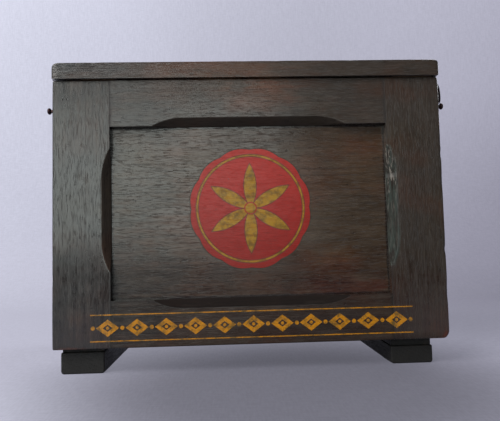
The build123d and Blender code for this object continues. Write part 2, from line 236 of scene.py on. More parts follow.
class NodeBench:
    """Adds and links the nodes of one material."""

    MIX_INPUTS = (0, 6, 7)
    MIX_OUTPUT = 2

    def __init__(self, name: str) -> None:
        """Start an empty material.

        Args:
            name: The material's name.
        """
        self.material = bpy.data.materials.new(name)
        self.material.use_nodes = True
        self.tree = self.material.node_tree
        self.tree.nodes.clear()

    def node(self, kind: str, **settings: object) -> bpy.types.Node:
        """Add one node and set its properties.

        Args:
            kind: The node's type name.
            settings: Properties to set on it.

        Returns:
            The new node.
        """
        made = self.tree.nodes.new(kind)
        for key, value in settings.items():
            setattr(made, key, value)
        return made

    def feed(self, socket: bpy.types.NodeSocket, value: Feed) -> None:
        """Link a value to an input socket, or set the socket to a plain value.

        Args:
            socket: The input socket.
            value: The value, number, vector or colour.
        """
        if isinstance(value, Wire):
            self.tree.links.new(value.socket, socket)
        elif socket.type == "RGBA" and len(value) == 3:
            socket.default_value = (*value, 1.0)
        else:
            socket.default_value = value

    def wire(self, kind: str, feeds: Sequence[Feed] = (), output: int | str = 0, **settings: object) -> Wire:
        """Add a node, feed its first inputs and give one of its outputs.

        Args:
            kind: The node's type name.
            feeds: The values of its inputs, in their order.
            output: The output wanted, by its place or name.
            settings: Properties to set on the node.

        Returns:
            The output's value.
        """
        made = self.node(kind, **settings)
        for socket, value in zip(made.inputs, feeds):
            self.feed(socket, value)
        return Wire(self, made.outputs[output])

    def mix(self, share: Feed, first: Feed, second: Feed, blend: str = "MIX") -> Wire:
        """Mix two colours.

        Args:
            share: How much of the second colour there is.
            first: The first colour.
            second: The second colour.
            blend: The blend mode.

        Returns:
            The mixed colour.
        """
        made = self.node("ShaderNodeMix", data_type="RGBA", blend_type=blend)
        for index, value in zip(self.MIX_INPUTS, (share, first, second)):
            self.feed(made.inputs[index], value)
        return Wire(self, made.outputs[self.MIX_OUTPUT])

    def attribute(self, name: str, output: str = "Fac") -> Wire:
        """Read a mesh attribute, as one value or as a vector."""
        return self.wire("ShaderNodeAttribute", output=output, attribute_name=name)

    def bump(self, height: Wire, distance: float, strength: float, normal: Optional[Wire] = None) -> Wire:
        """Turn a height into a normal.

        Args:
            height: The height, from 0 to 1.
            distance: The depth of a height of 1, in metres.
            strength: How strongly it shows.
            normal: A normal to build on.

        Returns:
            The normal.
        """
        made = self.node("ShaderNodeBump")
        for name, value in (("Distance", distance), ("Strength", strength), ("Height", height)):
            self.feed(made.inputs[name], value)
        if normal is not None:
            self.feed(made.inputs["Normal"], normal)
        return Wire(self, made.outputs[0])

    def surface(self, colour: Wire, roughness: Wire, normal: Wire, **fixed: float) -> Material:
        """Finish the material with a principled shader.

        Args:
            colour: The base colour.
            roughness: The roughness.
            normal: The normal.
            fixed: Numbers set on the shader's own sockets, with _ for blanks.

        Returns:
            The finished material.
        """
        shader = self.node("ShaderNodeBsdfPrincipled")
        for name, value in {"Base_Color": colour, "Roughness": roughness, "Normal": normal, **fixed}.items():
            self.feed(shader.inputs[name.replace("_", " ")], value)
        return self.finish(Wire(self, shader.outputs[0]))

    def finish(self, shader: Wire) -> Material:
        """Put a shader on the material's surface."""
        self.feed(self.node("ShaderNodeOutputMaterial").inputs[0], shader)
        return self.material


# Finishes


@dataclass(frozen=True)
class Painting:
    """The colours and sizes of the painted ornament."""

    red: Colour = (0.335, 0.021, 0.016)
    red_dark: Colour = (0.280, 0.016, 0.012)
    red_painted_shade: Colour = (0.68, 0.66, 0.66)
    gold: Colour = (0.300, 0.160, 0.010)
    gold_dark: Colour = (0.125, 0.068, 0.010)
    border_gold: Colour = (0.47, 0.185, 0.002)
    line: Colour = (0.030, 0.036, 0.030)
    line_share: float = 0.8
    roughness: float = 0.30
    smoothing: float = 0.7
    grain_left: float = 0.35
    build_up: float = 0.5
    centre_x: float = 0.0
    centre_z: float = 135.0 * MM
    disc_radius: float = 52.0 * MM
    scallop: float = 1.6 * MM
    scallops: int = 12
    ring_radius: float = 45.5 * MM
    ring_width: float = 1.5 * MM
    petal: float = 38.0 * MM
    petals: int = 6
    eye: float = 4.94 * MM
    eye_line: float = 0.54 * MM
    outline: float = 0.9 * MM
    gap: float = 0.63 * MM
    gap_share: float = 0.75
    soft: float = 0.25 * MM
    border_z: float = 38.2 * MM
    border_half: float = 134.2 * MM
    border_pitch: float = 24.0 * MM
    lozenge_half_width: float = 9.4 * MM
    lozenge_half_height: float = 7.0 * MM
    lozenge_hollow: float = 0.42
    dot_radius: float = 1.7 * MM
    seed_radius: float = 1.36 * MM
    pinstripe_offset: float = 10.7 * MM
    pinstripe_half: float = 0.42 * MM

    def reach_at(self, angle: float) -> float:
        """Give the reach of the disc with its dark outline at an angle round it."""
        wave = abs(math.sin(angle * self.scallops / 2))
        return self.disc_radius - self.scallop + self.scallop * wave + self.outline


@dataclass(frozen=True)
class StainAndLightPatch:
    """A place on the front where the colour takes another tint, of stain or of painted shade or sheen: its middle and
    reach in x and z.
    """

    middle: Span
    reach: Span
    tint: Colour
    share: float


# Tints of the front's patches. The red, orange, warm and honey ones are stain. The deep and shaded ones are painted
# shade, darkening the bottom rail, the lower panel and stiles, the panel just under the top rail and the top of the
# left stile. The cool one over the left stile and the pale one on the lid's left end are painted sheen, standing in for
# the window's reflection.
COOL_SHEEN: Colour = (0.76, 0.98, 1.14)
RED: Colour = (1.90, 0.84, 0.56)
ORANGE: Colour = (1.95, 1.00, 0.62)
WARM: Colour = (1.50, 1.25, 1.12)
SHADED: Colour = (0.60, 0.60, 0.64)
PALE_SHEEN: Colour = (1.30, 1.38, 1.48)
HONEY: Colour = (1.75, 1.30, 0.78)
DEEP_SHADE: Colour = (0.72, 0.54, 0.42)
FRONT_STAIN_AND_LIGHT_PATCHES = tuple(
    StainAndLightPatch((x * MM, z * MM), (wide * MM, high * MM), tint, share)
    for x, z, wide, high, tint, share in (
        (-175.0, 130.0, 120.0, 230.0, COOL_SHEEN, 1.0),
        (-120.0, 253.0, 95.0, 16.0, PALE_SHEEN, 1.0),
        (-145.0, 222.0, 34.0, 36.0, SHADED, 0.60),
        (0.0, 30.0, 170.0, 16.0, DEEP_SHADE, 0.75),
        (8.0, 229.0, 40.0, 16.0, ORANGE, 0.65),
        (-15.0, 253.0, 90.0, 18.0, WARM, 1.0),
        (-5.0, 253.0, 42.0, 12.0, ORANGE, 0.35),
        (92.0, 180.0, 26.0, 20.0, RED, 0.10),
        (92.0, 172.0, 46.0, 30.0, HONEY, 0.15),
        (2.0, 72.0, 26.0, 14.0, HONEY, 0.75),
        (70.0, 88.0, 28.0, 16.0, HONEY, 0.60),
        (78.0, 66.0, 55.0, 12.0, RED, 0.45),
        (163.5, 22.0, 8.0, 7.0, RED, 1.0),
        (166.0, 42.0, 3.0, 22.0, RED, 0.6),
        (-150.0, 21.5, 18.0, 2.5, RED, 0.9),
        (110.0, 40.0, 110.0, 45.0, DEEP_SHADE, 0.60),
        (0.0, 72.0, 190.0, 42.0, DEEP_SHADE, 0.95),
        (-100.0, 82.0, 80.0, 44.0, SHADED, 1.0),
        (-10.0, 74.0, 90.0, 26.0, SHADED, 0.4),
        (0.0, 195.0, 100.0, 16.0, DEEP_SHADE, 0.80),
        (-150.0, 26.0, 75.0, 30.0, SHADED, 0.8),
    )
)


@dataclass(frozen=True)
class OakFinish:
    """Old oak: its stain, grain, wax and wear, the painted shade and sheen in its colour, and what is painted on it."""

    name: str
    dark: Colour = (0.0235, 0.0182, 0.0152)
    light: Colour = (0.0500, 0.0388, 0.0318)
    red_tint: Colour = (1.50, 0.86, 0.66)
    olive_tint: Colour = (1.08, 0.98, 0.76)
    worn: Colour = (0.095, 0.036, 0.022)
    # The tint of dirt in the joints and of painted shade on the chamfers and round the panel.
    grime_and_shade: Colour = (0.20, 0.15, 0.15)
    film: Colour = (0.030, 0.038, 0.033)
    scuffed: Colour = (0.15, 0.135, 0.12)
    bare: Colour = (0.230, 0.150, 0.085)
    bare_dark: Colour = (0.110, 0.065, 0.036)
    pore_tint: Colour = (0.30, 0.27, 0.26)
    ring_width: float = 3.1 * MM
    ring_centre: Span = (-70.0 * MM, 46.0 * MM)
    roughness: float = 0.205
    wear_amount: float = 0.75
    tint_amount: float = 0.45
    sheen_swing: float = 0.52
    specular: float = 0.5
    patches: tuple[StainAndLightPatch, ...] = ()
    painting: Painting = Painting()
    paint: PaintWork = PaintWork.NONE

    SWAY = Cloud((6.0, 22.0, 22.0), 3.0)
    SWAY_REACH = 1.6 * MM
    DASHES = Cloud((105.0, 1250.0, 1250.0), 3.0, 0.6)
    STREAKS = Cloud((24.0, 380.0, 380.0), 4.0, 0.6)
    FIBRE = Cloud((420.0, 3600.0, 3600.0), 1.0)
    BLOTCH = Cloud((16.0, 34.0, 34.0), 4.0, 0.6)
    SPOTS = Cloud((110.0, 260.0, 260.0), 3.0, 0.6, (0.64, 0.74, 0.0, 0.75))
    DUST_AND_SHADE = Cloud((30.0, 90.0, 90.0), 4.0, 0.6, (0.25, 0.6, 0.72, 1.0))
    SMEAR = Cloud((14.0, 36.0, 36.0), 4.0, 0.65, (0.30, 0.72, -0.05, 0.07))
    WAVES = Cloud((9.0, 60.0, 60.0), 2.0)
    RED_DRIFT = Cloud((13.0, 13.0, 19.0), 4.0, 0.62)
    RED_SPAN = (0.46, 0.66)
    RED_SHIFT = (0.31, 0.17, 0.09)
    OLIVE_DRIFT = Cloud((15.0, 15.0, 23.0), 4.0, 0.62)
    OLIVE_SPAN = (0.47, 0.68)
    OLIVE_SHIFT = (0.73, 0.41, 0.52)
    RAGGED = Cloud((45.0, 45.0, 90.0), 4.0, 0.65)
    RAGGED_SWING = 1.5
    RAGGED_STREAKS = 1.2
    PATCH_FADE = (0.25, 1.15)
    FILM = Cloud((60.0, 340.0, 340.0), 4.0, 0.65, (0.36, 0.62, 0.1, 0.95))
    SCRATCHES = Cloud((85.0, 900.0, 900.0), 3.0, 0.65, (0.53, 0.63))
    SCRATCHED_RISE = (125.0 * MM, 165.0 * MM, 0.22, 1.0)
    CORNERS = Cloud((110.0, 110.0, 110.0), 3.0, 0.6)
    CORNER_SWING = 2.4 * MM
    CORNER_FADE = (0.5 * MM, 2.3 * MM, 0.92, 0.0)
    RING_FADE = (0.05, 0.42, 1.0, 0.0)
    RING_START = (0.93, 1.0)
    FINE_PORES = Cloud((125.0, 2200.0, 2200.0), 2.0)
    FINE_SPAN = (0.58, 0.68)
    EARLY_PORES = 0.05
    WIDE_PORES = Cloud((80.0, 1200.0, 1200.0), 1.0, limits=(0.64, 0.74, 0.0, 0.8))
    RUB_MARKS = Cloud((70.0, 70.0, 70.0), 4.0, 0.65)
    RUB_MIDDLE = 0.62
    RUB_SWING = 2.6
    RUB_SPAN = (0.55, 1.15)
    CHIPS = Cloud((420.0, 420.0, 420.0), 4.0, 0.7, (0.60, 0.68))
    THIN_PAINT = Cloud((28.0, 28.0, 28.0), 3.0, 0.6, (0.40, 0.72))
    THIN_CHIPS = 0.7
    LEAST_CHIPS = 0.12
    PORE_CHIPS = 0.26
    MOTTLE = Cloud((150.0, 150.0, 150.0), 5.0, 0.7)
    GOLD_SPAN = (0.34, 0.60)
    RED_PAINT_SPAN = (0.25, 0.70)
    DASH_TONE = 1.0
    STREAK_TONE = 0.9
    BLOTCH_TONE = 1.3
    EARLY_TONE = -0.12
    PORE_SHADE = 0.6
    STREAK_SHEEN = 0.22
    PORE_ROUGHNESS = 0.38
    DIRT_AND_SHADE_ROUGHNESS = 0.45
    BARE_ROUGHNESS = 0.30
    DASH_HEIGHT = 0.7
    PORE_DEPTH = 0.8
    FIBRE_HEIGHT = 0.3
    WAVE_DEPTH = 0.4 * MM
    GRAIN_DEPTH = 0.12 * MM
    BUMP = 0.5

    def build(self) -> Material:
        """Make the material.

        Returns:
            The finished material.
        """
        bench = NodeBench(self.name)
        grain = bench.attribute("grain", "Vector")
        place = bench.wire("ShaderNodeTexCoord", output="Object")
        wear, bare, grime_and_shade = (bench.attribute(name) for name in ("wear", "bare", "grime_and_shade"))
        sway = grain.noise(self.SWAY, "Color").vector("SUBTRACT", (0.5, 0.5, 0.5))
        along = grain.vector("ADD", sway.vector("MULTIPLY", (0.0, self.SWAY_REACH, self.SWAY_REACH)))
        early = self.early_wood(along)
        pores = self.pores(along, early)
        dashes, streaks, fibre = (along.noise(cloud) for cloud in (self.DASHES, self.STREAKS, self.FIBRE))
        tone = 0.5 + dashes.swing(self.DASH_TONE) + streaks.swing(self.STREAK_TONE)
        tone = tone + grain.noise(self.BLOTCH).swing(self.BLOTCH_TONE)
        tone = (tone + early * self.EARLY_TONE).clamped()
        colour = self.stained_and_shaded(bench.mix(tone, self.dark, self.light), place, streaks)
        colour = colour.mixed(bench.mix(tone, self.bare_dark, self.bare), bare)
        spots = grain.noise(self.SPOTS)
        colour = colour.tinted(self.pore_tint, (pores * self.PORE_SHADE).most(spots))
        colour = colour.mixed(self.worn, self.wear_mask(wear, place, bare))
        # The attribute holds dirt in the joints and painted shade on the chamfers.
        dirt_and_shade = grime_and_shade * grain.noise(self.DUST_AND_SHADE)
        colour = self.scraped(colour.tinted(self.grime_and_shade, dirt_and_shade), place, along)
        rough = grain.noise(self.SMEAR) + self.roughness
        rough = rough + dashes.swing(self.sheen_swing) + streaks.swing(self.STREAK_SHEEN)
        rough = rough + pores * self.PORE_ROUGHNESS + dirt_and_shade * self.DIRT_AND_SHADE_ROUGHNESS
        rough = (rough + bare * self.BARE_ROUGHNESS).clamped()
        height = dashes * self.DASH_HEIGHT - pores * self.PORE_DEPTH + fibre * self.FIBRE_HEIGHT - spots
        # Painted shade along the panel's edges, in the corners of the recess.
        if self.paint is PaintWork.ROSETTE:
            colour = self.corner_shade(colour, place)
        if self.paint is not PaintWork.NONE:
            colour, rough, height = self.painted(colour, rough, height, pores, place)
        normal = bench.bump(grain.noise(self.WAVES), self.WAVE_DEPTH, self.BUMP)
        normal = bench.bump(height, self.GRAIN_DEPTH, self.BUMP, normal)
        return bench.surface(colour, rough, normal, Specular_IOR_Level=self.specular)

    def stained_and_shaded(self, colour: Wire, place: Wire, streaks: Wire) -> Wire:
        """Vary the stain, redder or yellower in large patches, and tint the front's own patches of stain, painted shade
        and painted sheen.

        Args:
            colour: The wood's colour.
            place: The place in the part.
            streaks: The grain's streaks.

        Returns:
            The varied colour.
        """
        for shift, cloud, span, tint in (
            (self.RED_SHIFT, self.RED_DRIFT, self.RED_SPAN, self.red_tint),
            (self.OLIVE_SHIFT, self.OLIVE_DRIFT, self.OLIVE_SPAN, self.olive_tint),
        ):
            share = place.vector("ADD", shift).noise(cloud).ramp(*span, 0.0, self.tint_amount)
            colour = colour.tinted(tint, share)
        _, depth, _ = place.split()
        front = self.front_only(depth)
        ragged = place.noise(self.RAGGED).swing(self.RAGGED_SWING) + streaks.swing(self.RAGGED_STREAKS)
        # Each patch is stain, painted shade or painted sheen.
        for patch in self.patches:
            x, z = patch.middle
            scale = (1.0 / patch.reach[0], 0.0, 1.0 / patch.reach[1])
            reach = place.vector("SUBTRACT", (x, 0.0, z)).vector("MULTIPLY", scale).distance() + ragged
            colour = colour.tinted(patch.tint, reach.ramp(*self.PATCH_FADE, patch.share, 0.0) * front)
        return colour

    def scraped(self, colour: Wire, place: Wire, along: Wire) -> Wire:
        """Lay a greenish film and pale scratches over a scraped chamfer.

        Args:
            colour: The wood's colour.
            place: The place in the part.
            along: The grain coordinates.

        Returns:
            The scraped colour.
        """
        scuff = colour.bench.attribute("scuff")
        _, _, rise = place.split()
        scratches = along.noise(self.SCRATCHES) * rise.ramp(*self.SCRATCHED_RISE) * scuff
        return colour.mixed(self.film, scuff * along.noise(self.FILM)).mixed(self.scuffed, scratches)

    def corner_shade(self, colour: Wire, place: Wire) -> Wire:
        """Paint shade on the panel where it meets the frame round it.

        Args:
            colour: The wood's colour.
            place: The place in the part.

        Returns:
            The colour with the dirt in the corners.
        """
        x, _, z = place.split()
        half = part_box("front_right_stile")[0].x
        low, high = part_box("front_bottom_rail")[1].z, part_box("front_top_rail")[0].z
        gap = (z - low).least(high - z).least(half - abs(x))
        ragged = place.noise(self.CORNERS).swing(self.CORNER_SWING)
        return colour.tinted(self.grime_and_shade, (gap + ragged).ramp(*self.CORNER_FADE))

    def early_wood(self, along: Wire) -> Wire:
        """Mark the porous early wood of each year's ring.

        Args:
            along: The grain coordinates.

        Returns:
            A mask, 1 in early wood.
        """
        _, across, through = along.split()
        ring = (across.reach(through, self.ring_centre) / self.ring_width).math("FRACT")
        return ring.ramp(*self.RING_FADE).most(ring.ramp(*self.RING_START))

    def pores(self, along: Wire, early: Wire) -> Wire:
        """Mark the long open pores, fine and wide, more of them in early wood."""
        fine = (along.noise(self.FINE_PORES) + early * self.EARLY_PORES).ramp(*self.FINE_SPAN)
        return fine.most(along.noise(self.WIDE_PORES))

    def wear_mask(self, wear: Wire, place: Wire, bare: Wire) -> Wire:
        """Mark where handling has taken the stain off the arrises, but not on bare wood."""
        rub = wear + (place.noise(self.RUB_MARKS) - self.RUB_MIDDLE) * self.RUB_SWING
        return rub.ramp(*self.RUB_SPAN, 0.0, self.wear_amount) * (1.0 - bare)

    def painted(self, colour: Wire, rough: Wire, height: Wire, pores: Wire, place: Wire) -> tuple[Wire, Wire, Wire]:
        """Lay the ornament over the wood.

        Args:
            colour: The wood's colour.
            rough: The wood's roughness.
            height: The wood's height.
            pores: The pores' mask.
            place: The place in the part.

        Returns:
            The colour, roughness and height with the paint on.
        """
        bench, paint = colour.bench, self.painting
        rubbed = place.noise(self.THIN_PAINT) * self.THIN_CHIPS + self.LEAST_CHIPS
        left = (1.0 - (place.noise(self.CHIPS) * rubbed).most(pores * self.PORE_CHIPS)).clamped()
        mottle = place.noise(self.MOTTLE)
        bright = paint.gold if self.paint is PaintWork.ROSETTE else paint.border_gold
        gold = bench.mix(mottle.ramp(*self.GOLD_SPAN), paint.gold_dark, bright)
        if self.paint is PaintWork.ROSETTE:
            _, _, rise = place.split()
            # Painted shade: the red darkens towards the foot of the disc.
            low = rise.ramp(paint.centre_z - paint.disc_radius, paint.centre_z + paint.disc_radius, 1.0, 0.0)
            red = bench.mix(mottle.ramp(*self.RED_PAINT_SPAN), paint.red_dark, paint.red)
            red = red.tinted(paint.red_painted_shade, low)
            field_mask, line_mask, gold_mask = self.rosette(place)
            colour = colour.mixed(paint.line, line_mask * paint.line_share).mixed(red, field_mask * left)
        else:
            field_mask = gold_mask = self.border(place)
        colour = colour.mixed(gold, gold_mask * left)
        covered = field_mask.most(gold_mask) * left
        rough = rough + covered * ((paint.roughness - rough) * paint.smoothing)
        height = height * (1.0 - covered * (1.0 - paint.grain_left)) + covered * paint.build_up
        return colour, rough, height

    def inside(self, signed: Wire) -> Wire:
        """Turn a distance inside a shape into a soft-edged mask."""
        return signed.ramp(-self.painting.soft, self.painting.soft)

    def rosette(self, place: Wire) -> tuple[Wire, Wire, Wire]:
        """Draw a scalloped disc with a ring and a rosette of petals in it.

        Args:
            place: The place in the part.

        Returns:
            The masks of the disc, of the thin dark lines and of the gold.
        """
        paint = self.painting
        x, y, z = place.split()
        x, z = x - paint.centre_x, z - paint.centre_z
        reach, angle = x.reach(z), z.math("ARCTAN2", x)
        wave = abs((angle * (paint.scallops / 2)).math("SINE"))
        disc = wave * paint.scallop + (paint.disc_radius - paint.scallop) - reach
        ring = paint.ring_width / 2 - abs(reach - paint.ring_radius)
        turn = 2 * math.pi / paint.petals
        folded = abs(angle % turn - turn / 2)
        centre = (paint.petal / 2, -paint.petal * math.sqrt(3) / 2)
        petal = paint.petal - (reach * folded.math("COSINE")).reach(reach * folded.math("SINE"), centre)
        eye = paint.eye - reach
        eye_ring = paint.eye_line - abs(eye)
        gold = ring.most(petal).most(eye)
        line = (disc + paint.outline).most(eye_ring)
        front = self.front_only(y)
        gap = self.inside(gold + paint.gap) - self.inside(gold)
        disc_mask = self.inside(disc) * front * (1.0 - gap * paint.gap_share)
        gold_mask = self.inside(gold) * front * (1.0 - self.inside(eye_ring))
        return disc_mask, self.inside(line) * front, gold_mask

    def border(self, place: Wire) -> Wire:
        """Draw a row of hollow lozenges and dots between two fine lines.

        Args:
            place: The place in the part.

        Returns:
            The gold's mask.
        """
        paint = self.painting
        x, y, z = place.split()
        rise = abs(z - paint.border_z)
        half_pitch = paint.border_pitch / 2
        fold = abs((x + half_pitch) % paint.border_pitch - half_pitch)
        spread = fold / paint.lozenge_half_width + rise / paint.lozenge_half_height
        outer = (1.0 - spread) * paint.lozenge_half_height
        inner = (spread - paint.lozenge_hollow) * paint.lozenge_half_height
        dot = paint.dot_radius - (half_pitch - fold).reach(rise)
        seed = paint.seed_radius - fold.reach(rise)
        stripe = paint.pinstripe_half - abs(rise - paint.pinstripe_offset)
        shapes = outer.least(inner).most(dot).most(seed).most(stripe)
        return self.inside(shapes.least(paint.border_half - abs(x))) * self.front_only(y)

    def front_only(self, y: Wire) -> Wire:
        """Mark the case's front, so that paint and patches stay off the boards' hidden sides."""
        return y.math("LESS_THAN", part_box("front_panel")[0].y + FRONT_DEPTH)


@dataclass(frozen=True)
class MetalFinish:
    """Old metal: a base, a patina over it and a rubbed brightness on its edges."""

    name: str
    base: Colour
    patina: Colour
    bright: Colour
    roughness: float = 0.42
    rubbed: float = 0.5

    TARNISH = Cloud((420.0, 420.0, 420.0), 5.0, 0.62)
    PATINA_SPAN = (0.36, 0.66)
    ROUGHNESS_SWING = 0.35
    ROUGHNESS_DROP = 0.17
    PITS = Cloud((1700.0, 1700.0, 1700.0), 3.0, 0.6, (0.62, 0.74))
    PIT_SHARE = 0.6
    PIT_DEPTH = 0.7
    EDGE_SPAN = (0.52, 0.60)
    RUB_FADE = (0.35, 0.6, 0.3, 1.0)
    BUMP_DEPTH = 0.05 * MM
    BUMP = 0.6
    METALLIC = 0.9

    def build(self) -> Material:
        """Make the material.

        Returns:
            The finished material.
        """
        bench = NodeBench(self.name)
        place = bench.wire("ShaderNodeTexCoord", output="Object")
        tarnish = place.noise(self.TARNISH)
        pits = place.noise(self.PITS)
        edge = bench.wire("ShaderNodeNewGeometry", output="Pointiness").ramp(*self.EDGE_SPAN)
        rub = edge * tarnish.ramp(*self.RUB_FADE) * self.rubbed
        colour = bench.mix(tarnish.ramp(*self.PATINA_SPAN), self.base, self.patina)
        colour = colour.mixed(self.bright, rub).mixed(self.patina, pits * self.PIT_SHARE)
        rough = (tarnish * self.ROUGHNESS_SWING + (self.roughness - self.ROUGHNESS_DROP)).clamped()
        normal = bench.bump(tarnish - pits * self.PIT_DEPTH, self.BUMP_DEPTH, self.BUMP)
        return bench.surface(colour, rough, normal, Metallic=self.METALLIC)


@dataclass(frozen=True)
class Glade:
    """A painted shade or painted pool of light on the cloth: its middle, where it starts and ends to fade, and its
    share.
    """

    middle: Place
    reach: Span
    share: float

    def mask(self, place: Wire) -> Wire:
        """Give the mask of the place, 0 outside it."""
        return place.distance(self.middle).ramp(*self.reach, self.share, 0.0)


@dataclass(frozen=True)
class ClothFinish:
    """The pale cloth of the floor and the backdrop, with painted light and shade in its colour."""

    name: str = "pale_cloth"
    bright: Colour = (0.760, 0.775, 0.920)
    dim: Colour = (0.335, 0.325, 0.415)
    bounce: Colour = (0.16, 0.16, 0.17)
    slope: Span = (0.9, -0.80)
    span: Span = (-1.10, 0.62)
    bend: float = 0.85
    # Painted shadows: under and in front of the case, near the back right lamp on the floor and wall, and high on the
    # wall.
    shades: tuple[Glade, ...] = (
        Glade((0.032, -0.14, 0.0), (0.08, 0.27), 0.60),
        Glade((0.72, 0.60, -0.05), (0.12, 0.62), 0.20),
        Glade((0.10, 0.75, 0.66), (0.05, 0.42), 0.09),
        Glade((0.38, 0.30, 0.0), (0.12, 0.50), 0.20),
    )
    # A painted pool of light on the floor to the front left.
    lift: Glade = Glade((-0.30, -0.26, 0.0), (0.05, 0.24), 0.70)
    # The share of the cloth that camera and mirror rays see as a glow of its own, not lit by the lamps.
    own_light: float = 0.62
    wall_start: Span = (0.02, 0.25)
    front_fade: Span = (-0.85, -0.32)
    front_left: float = 0.22

    CLOUDS = Cloud((5.0, 5.0, 5.0), 4.0, 0.6)
    CLOUD_SWING = 0.14
    WEFT = Cloud((90.0, 620.0, 620.0), 3.0, 0.6)
    WARP = Cloud((620.0, 90.0, 90.0), 3.0, 0.6)
    WEAVE = (0.70, 1.30, 0.0, 0.11)

    def build(self) -> Material:
        """Make the material, with painted shade: darker to the right and to the front, and round the case.

        Returns:
            The finished material.
        """
        bench = NodeBench(self.name)
        place = bench.wire("ShaderNodeTexCoord", output="Object")
        x, y, z = place.split()
        # A painted fall of light: brightest to the upper left, dimmer to the right and lower down.
        fall = x * self.slope[0] + z * self.slope[1] + place.noise(self.CLOUDS).swing(self.CLOUD_SWING)
        share = ((fall - self.span[0]) / (self.span[1] - self.span[0])).clamped()
        colour = bench.mix(share.math("POWER", self.bend), self.bright, self.dim)
        # The painted shadows and the painted pool of light.
        for shade in self.shades:
            colour = colour.mixed(BLACK, shade.mask(place))
        colour = colour.mixed(self.bright, self.lift.mask(place))
        # Painted shade, darker towards the front of the floor.
        colour = colour.mixed(BLACK, y.ramp(*self.front_fade, 1.0 - self.front_left, 0.0))
        weave = (place.noise(self.WEFT) + place.noise(self.WARP)).ramp(*self.WEAVE)
        colour = colour.mixed(BLACK, weave)
        # Camera and mirror rays see the cloth partly as a glow of its painted colour, wholly on the wall; bounce light
        # sees a darker copy of it.
        camera, mirror, glass = (
            bench.wire("ShaderNodeLightPath", output=f"Is {ray} Ray") for ray in ("Camera", "Glossy", "Transmission")
        )
        seen = camera.most(mirror.most(glass))
        cloth = bench.wire("ShaderNodeBsdfDiffuse", (bench.mix(seen, self.bounce, colour),))
        glow = bench.wire("ShaderNodeEmission", (colour,))
        own = z.ramp(*self.wall_start, self.own_light, 1.0)
        return bench.finish(bench.wire("ShaderNodeMixShader", (seen * own, cloth, glow)))


# Mesh helpers


def middle_of(node: str) -> Vector:
    """Give the middle of a node's box."""
    low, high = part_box(node)
    return (low + high) / 2


def quarter_arc(reach: float, share: float) -> Span:
    """Give a point of a rounded corner, as its distances back along the two sides."""
    turn = math.pi / 2 * share
    return reach * (1 - math.sin(turn)), reach * (1 - math.cos(turn))


def skin(rings: Sequence[Sequence[Vector]]) -> Mesh:
    """Join rings of points into a closed skin, with a cap on the first and on the last.

    Args:
        rings: The rings, all of one count of points.

    Returns:
        The closed mesh.
    """
    made = bmesh.new()
    loops = [[made.verts.new(point) for point in ring] for ring in rings]
    for first, second in zip(loops, loops[1:]):
        for i in range(len(first)):
            j = (i + 1) % len(first)
            made.faces.new((first[i], first[j], second[j], second[i]))
    made.faces.new(tuple(reversed(loops[0])))
    made.faces.new(tuple(loops[-1]))
    bmesh.ops.recalc_face_normals(made, faces=made.faces)
    return made


def lathe(outline: Sequence[Span], axis: Vector, origin: Vector) -> Mesh:
    """Turn an outline round an axis.

    Args:
        outline: Pairs of place along the axis and radius, from one end to the other.
        axis: The axis's direction.
        origin: The axis's starting point.

    Returns:
        The closed mesh.
    """
    turn = axis.normalized().to_track_quat("Z", "Y").to_matrix()
    angles = [2 * math.pi * i / LATHE_SIDES for i in range(LATHE_SIDES)]
    return skin([
        [origin + turn @ Vector((radius * math.cos(t), radius * math.sin(t), along)) for t in angles]
        for along, radius in outline
    ])


def box_mesh(low: Vector, high: Vector) -> Mesh:
    """Make a closed box.

    Args:
        low: The lowest corner.
        high: The highest corner.

    Returns:
        The mesh.
    """
    made = bmesh.new()
    scale = Matrix.Diagonal((*(high - low), 1.0))
    bmesh.ops.create_cube(made, size=1.0, matrix=Matrix.Translation((high + low) / 2) @ scale)
    return made


def welded(name: str) -> Mesh:
    """Copy a node's mesh with its doubled points joined.

    Args:
        name: The node's name.

    Returns:
        The closed mesh.
    """
    made = bmesh.new()
    made.from_mesh(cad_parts[name].data)
    bmesh.ops.remove_doubles(made, verts=made.verts, dist=WELD_REACH)
    return made


def as_piece(made: Mesh, name: str) -> Piece:
    """Turn a mesh under construction into an object, shaded smooth with its sharp edges kept.

    Args:
        made: The mesh under construction, which is freed.
        name: The piece's name.

    Returns:
        The new object.
    """
    mesh = bpy.data.meshes.new(name)
    made.to_mesh(mesh)
    made.free()
    for polygon in mesh.polygons:
        polygon.use_smooth = True
    mesh.set_sharp_from_angle(angle=SHARP_ANGLE)
    piece = bpy.data.objects.new(name, mesh)
    bpy.context.scene.collection.objects.link(piece)
    return piece


def modify(piece: Piece, kind: str, **settings: object) -> bpy.types.Modifier:
    """Add a modifier to a piece and set its properties.

    Args:
        piece: The object.
        kind: The modifier's type.
        settings: Properties to set on it.

    Returns:
        The modifier.
    """
    made = piece.modifiers.new(kind.lower(), kind)
    for key, value in settings.items():
        setattr(made, key, value)
    return made


def keep_flats(piece: Piece) -> None:
    """Weight the normals by face area, so that wide faces stay flat."""
    modify(piece, "WEIGHTED_NORMAL", mode="FACE_AREA", weight=FLAT_WEIGHT, keep_sharp=True)


def soften(piece: Piece, ease: float) -> None:
    """Ease a metal piece's sharp edges.

    Args:
        piece: The object.
        ease: The width of the eased edges.
    """
    modify(piece, "WELD", merge_threshold=WELD_REACH)
    modify(piece, "DECIMATE", decimate_type="DISSOLVE", angle_limit=FLAT_ANGLE)
    modify(piece, "BEVEL", width=ease, segments=EASE_SEGMENTS, limit_method="ANGLE", angle_limit=EASED_ANGLE)
    keep_flats(piece)


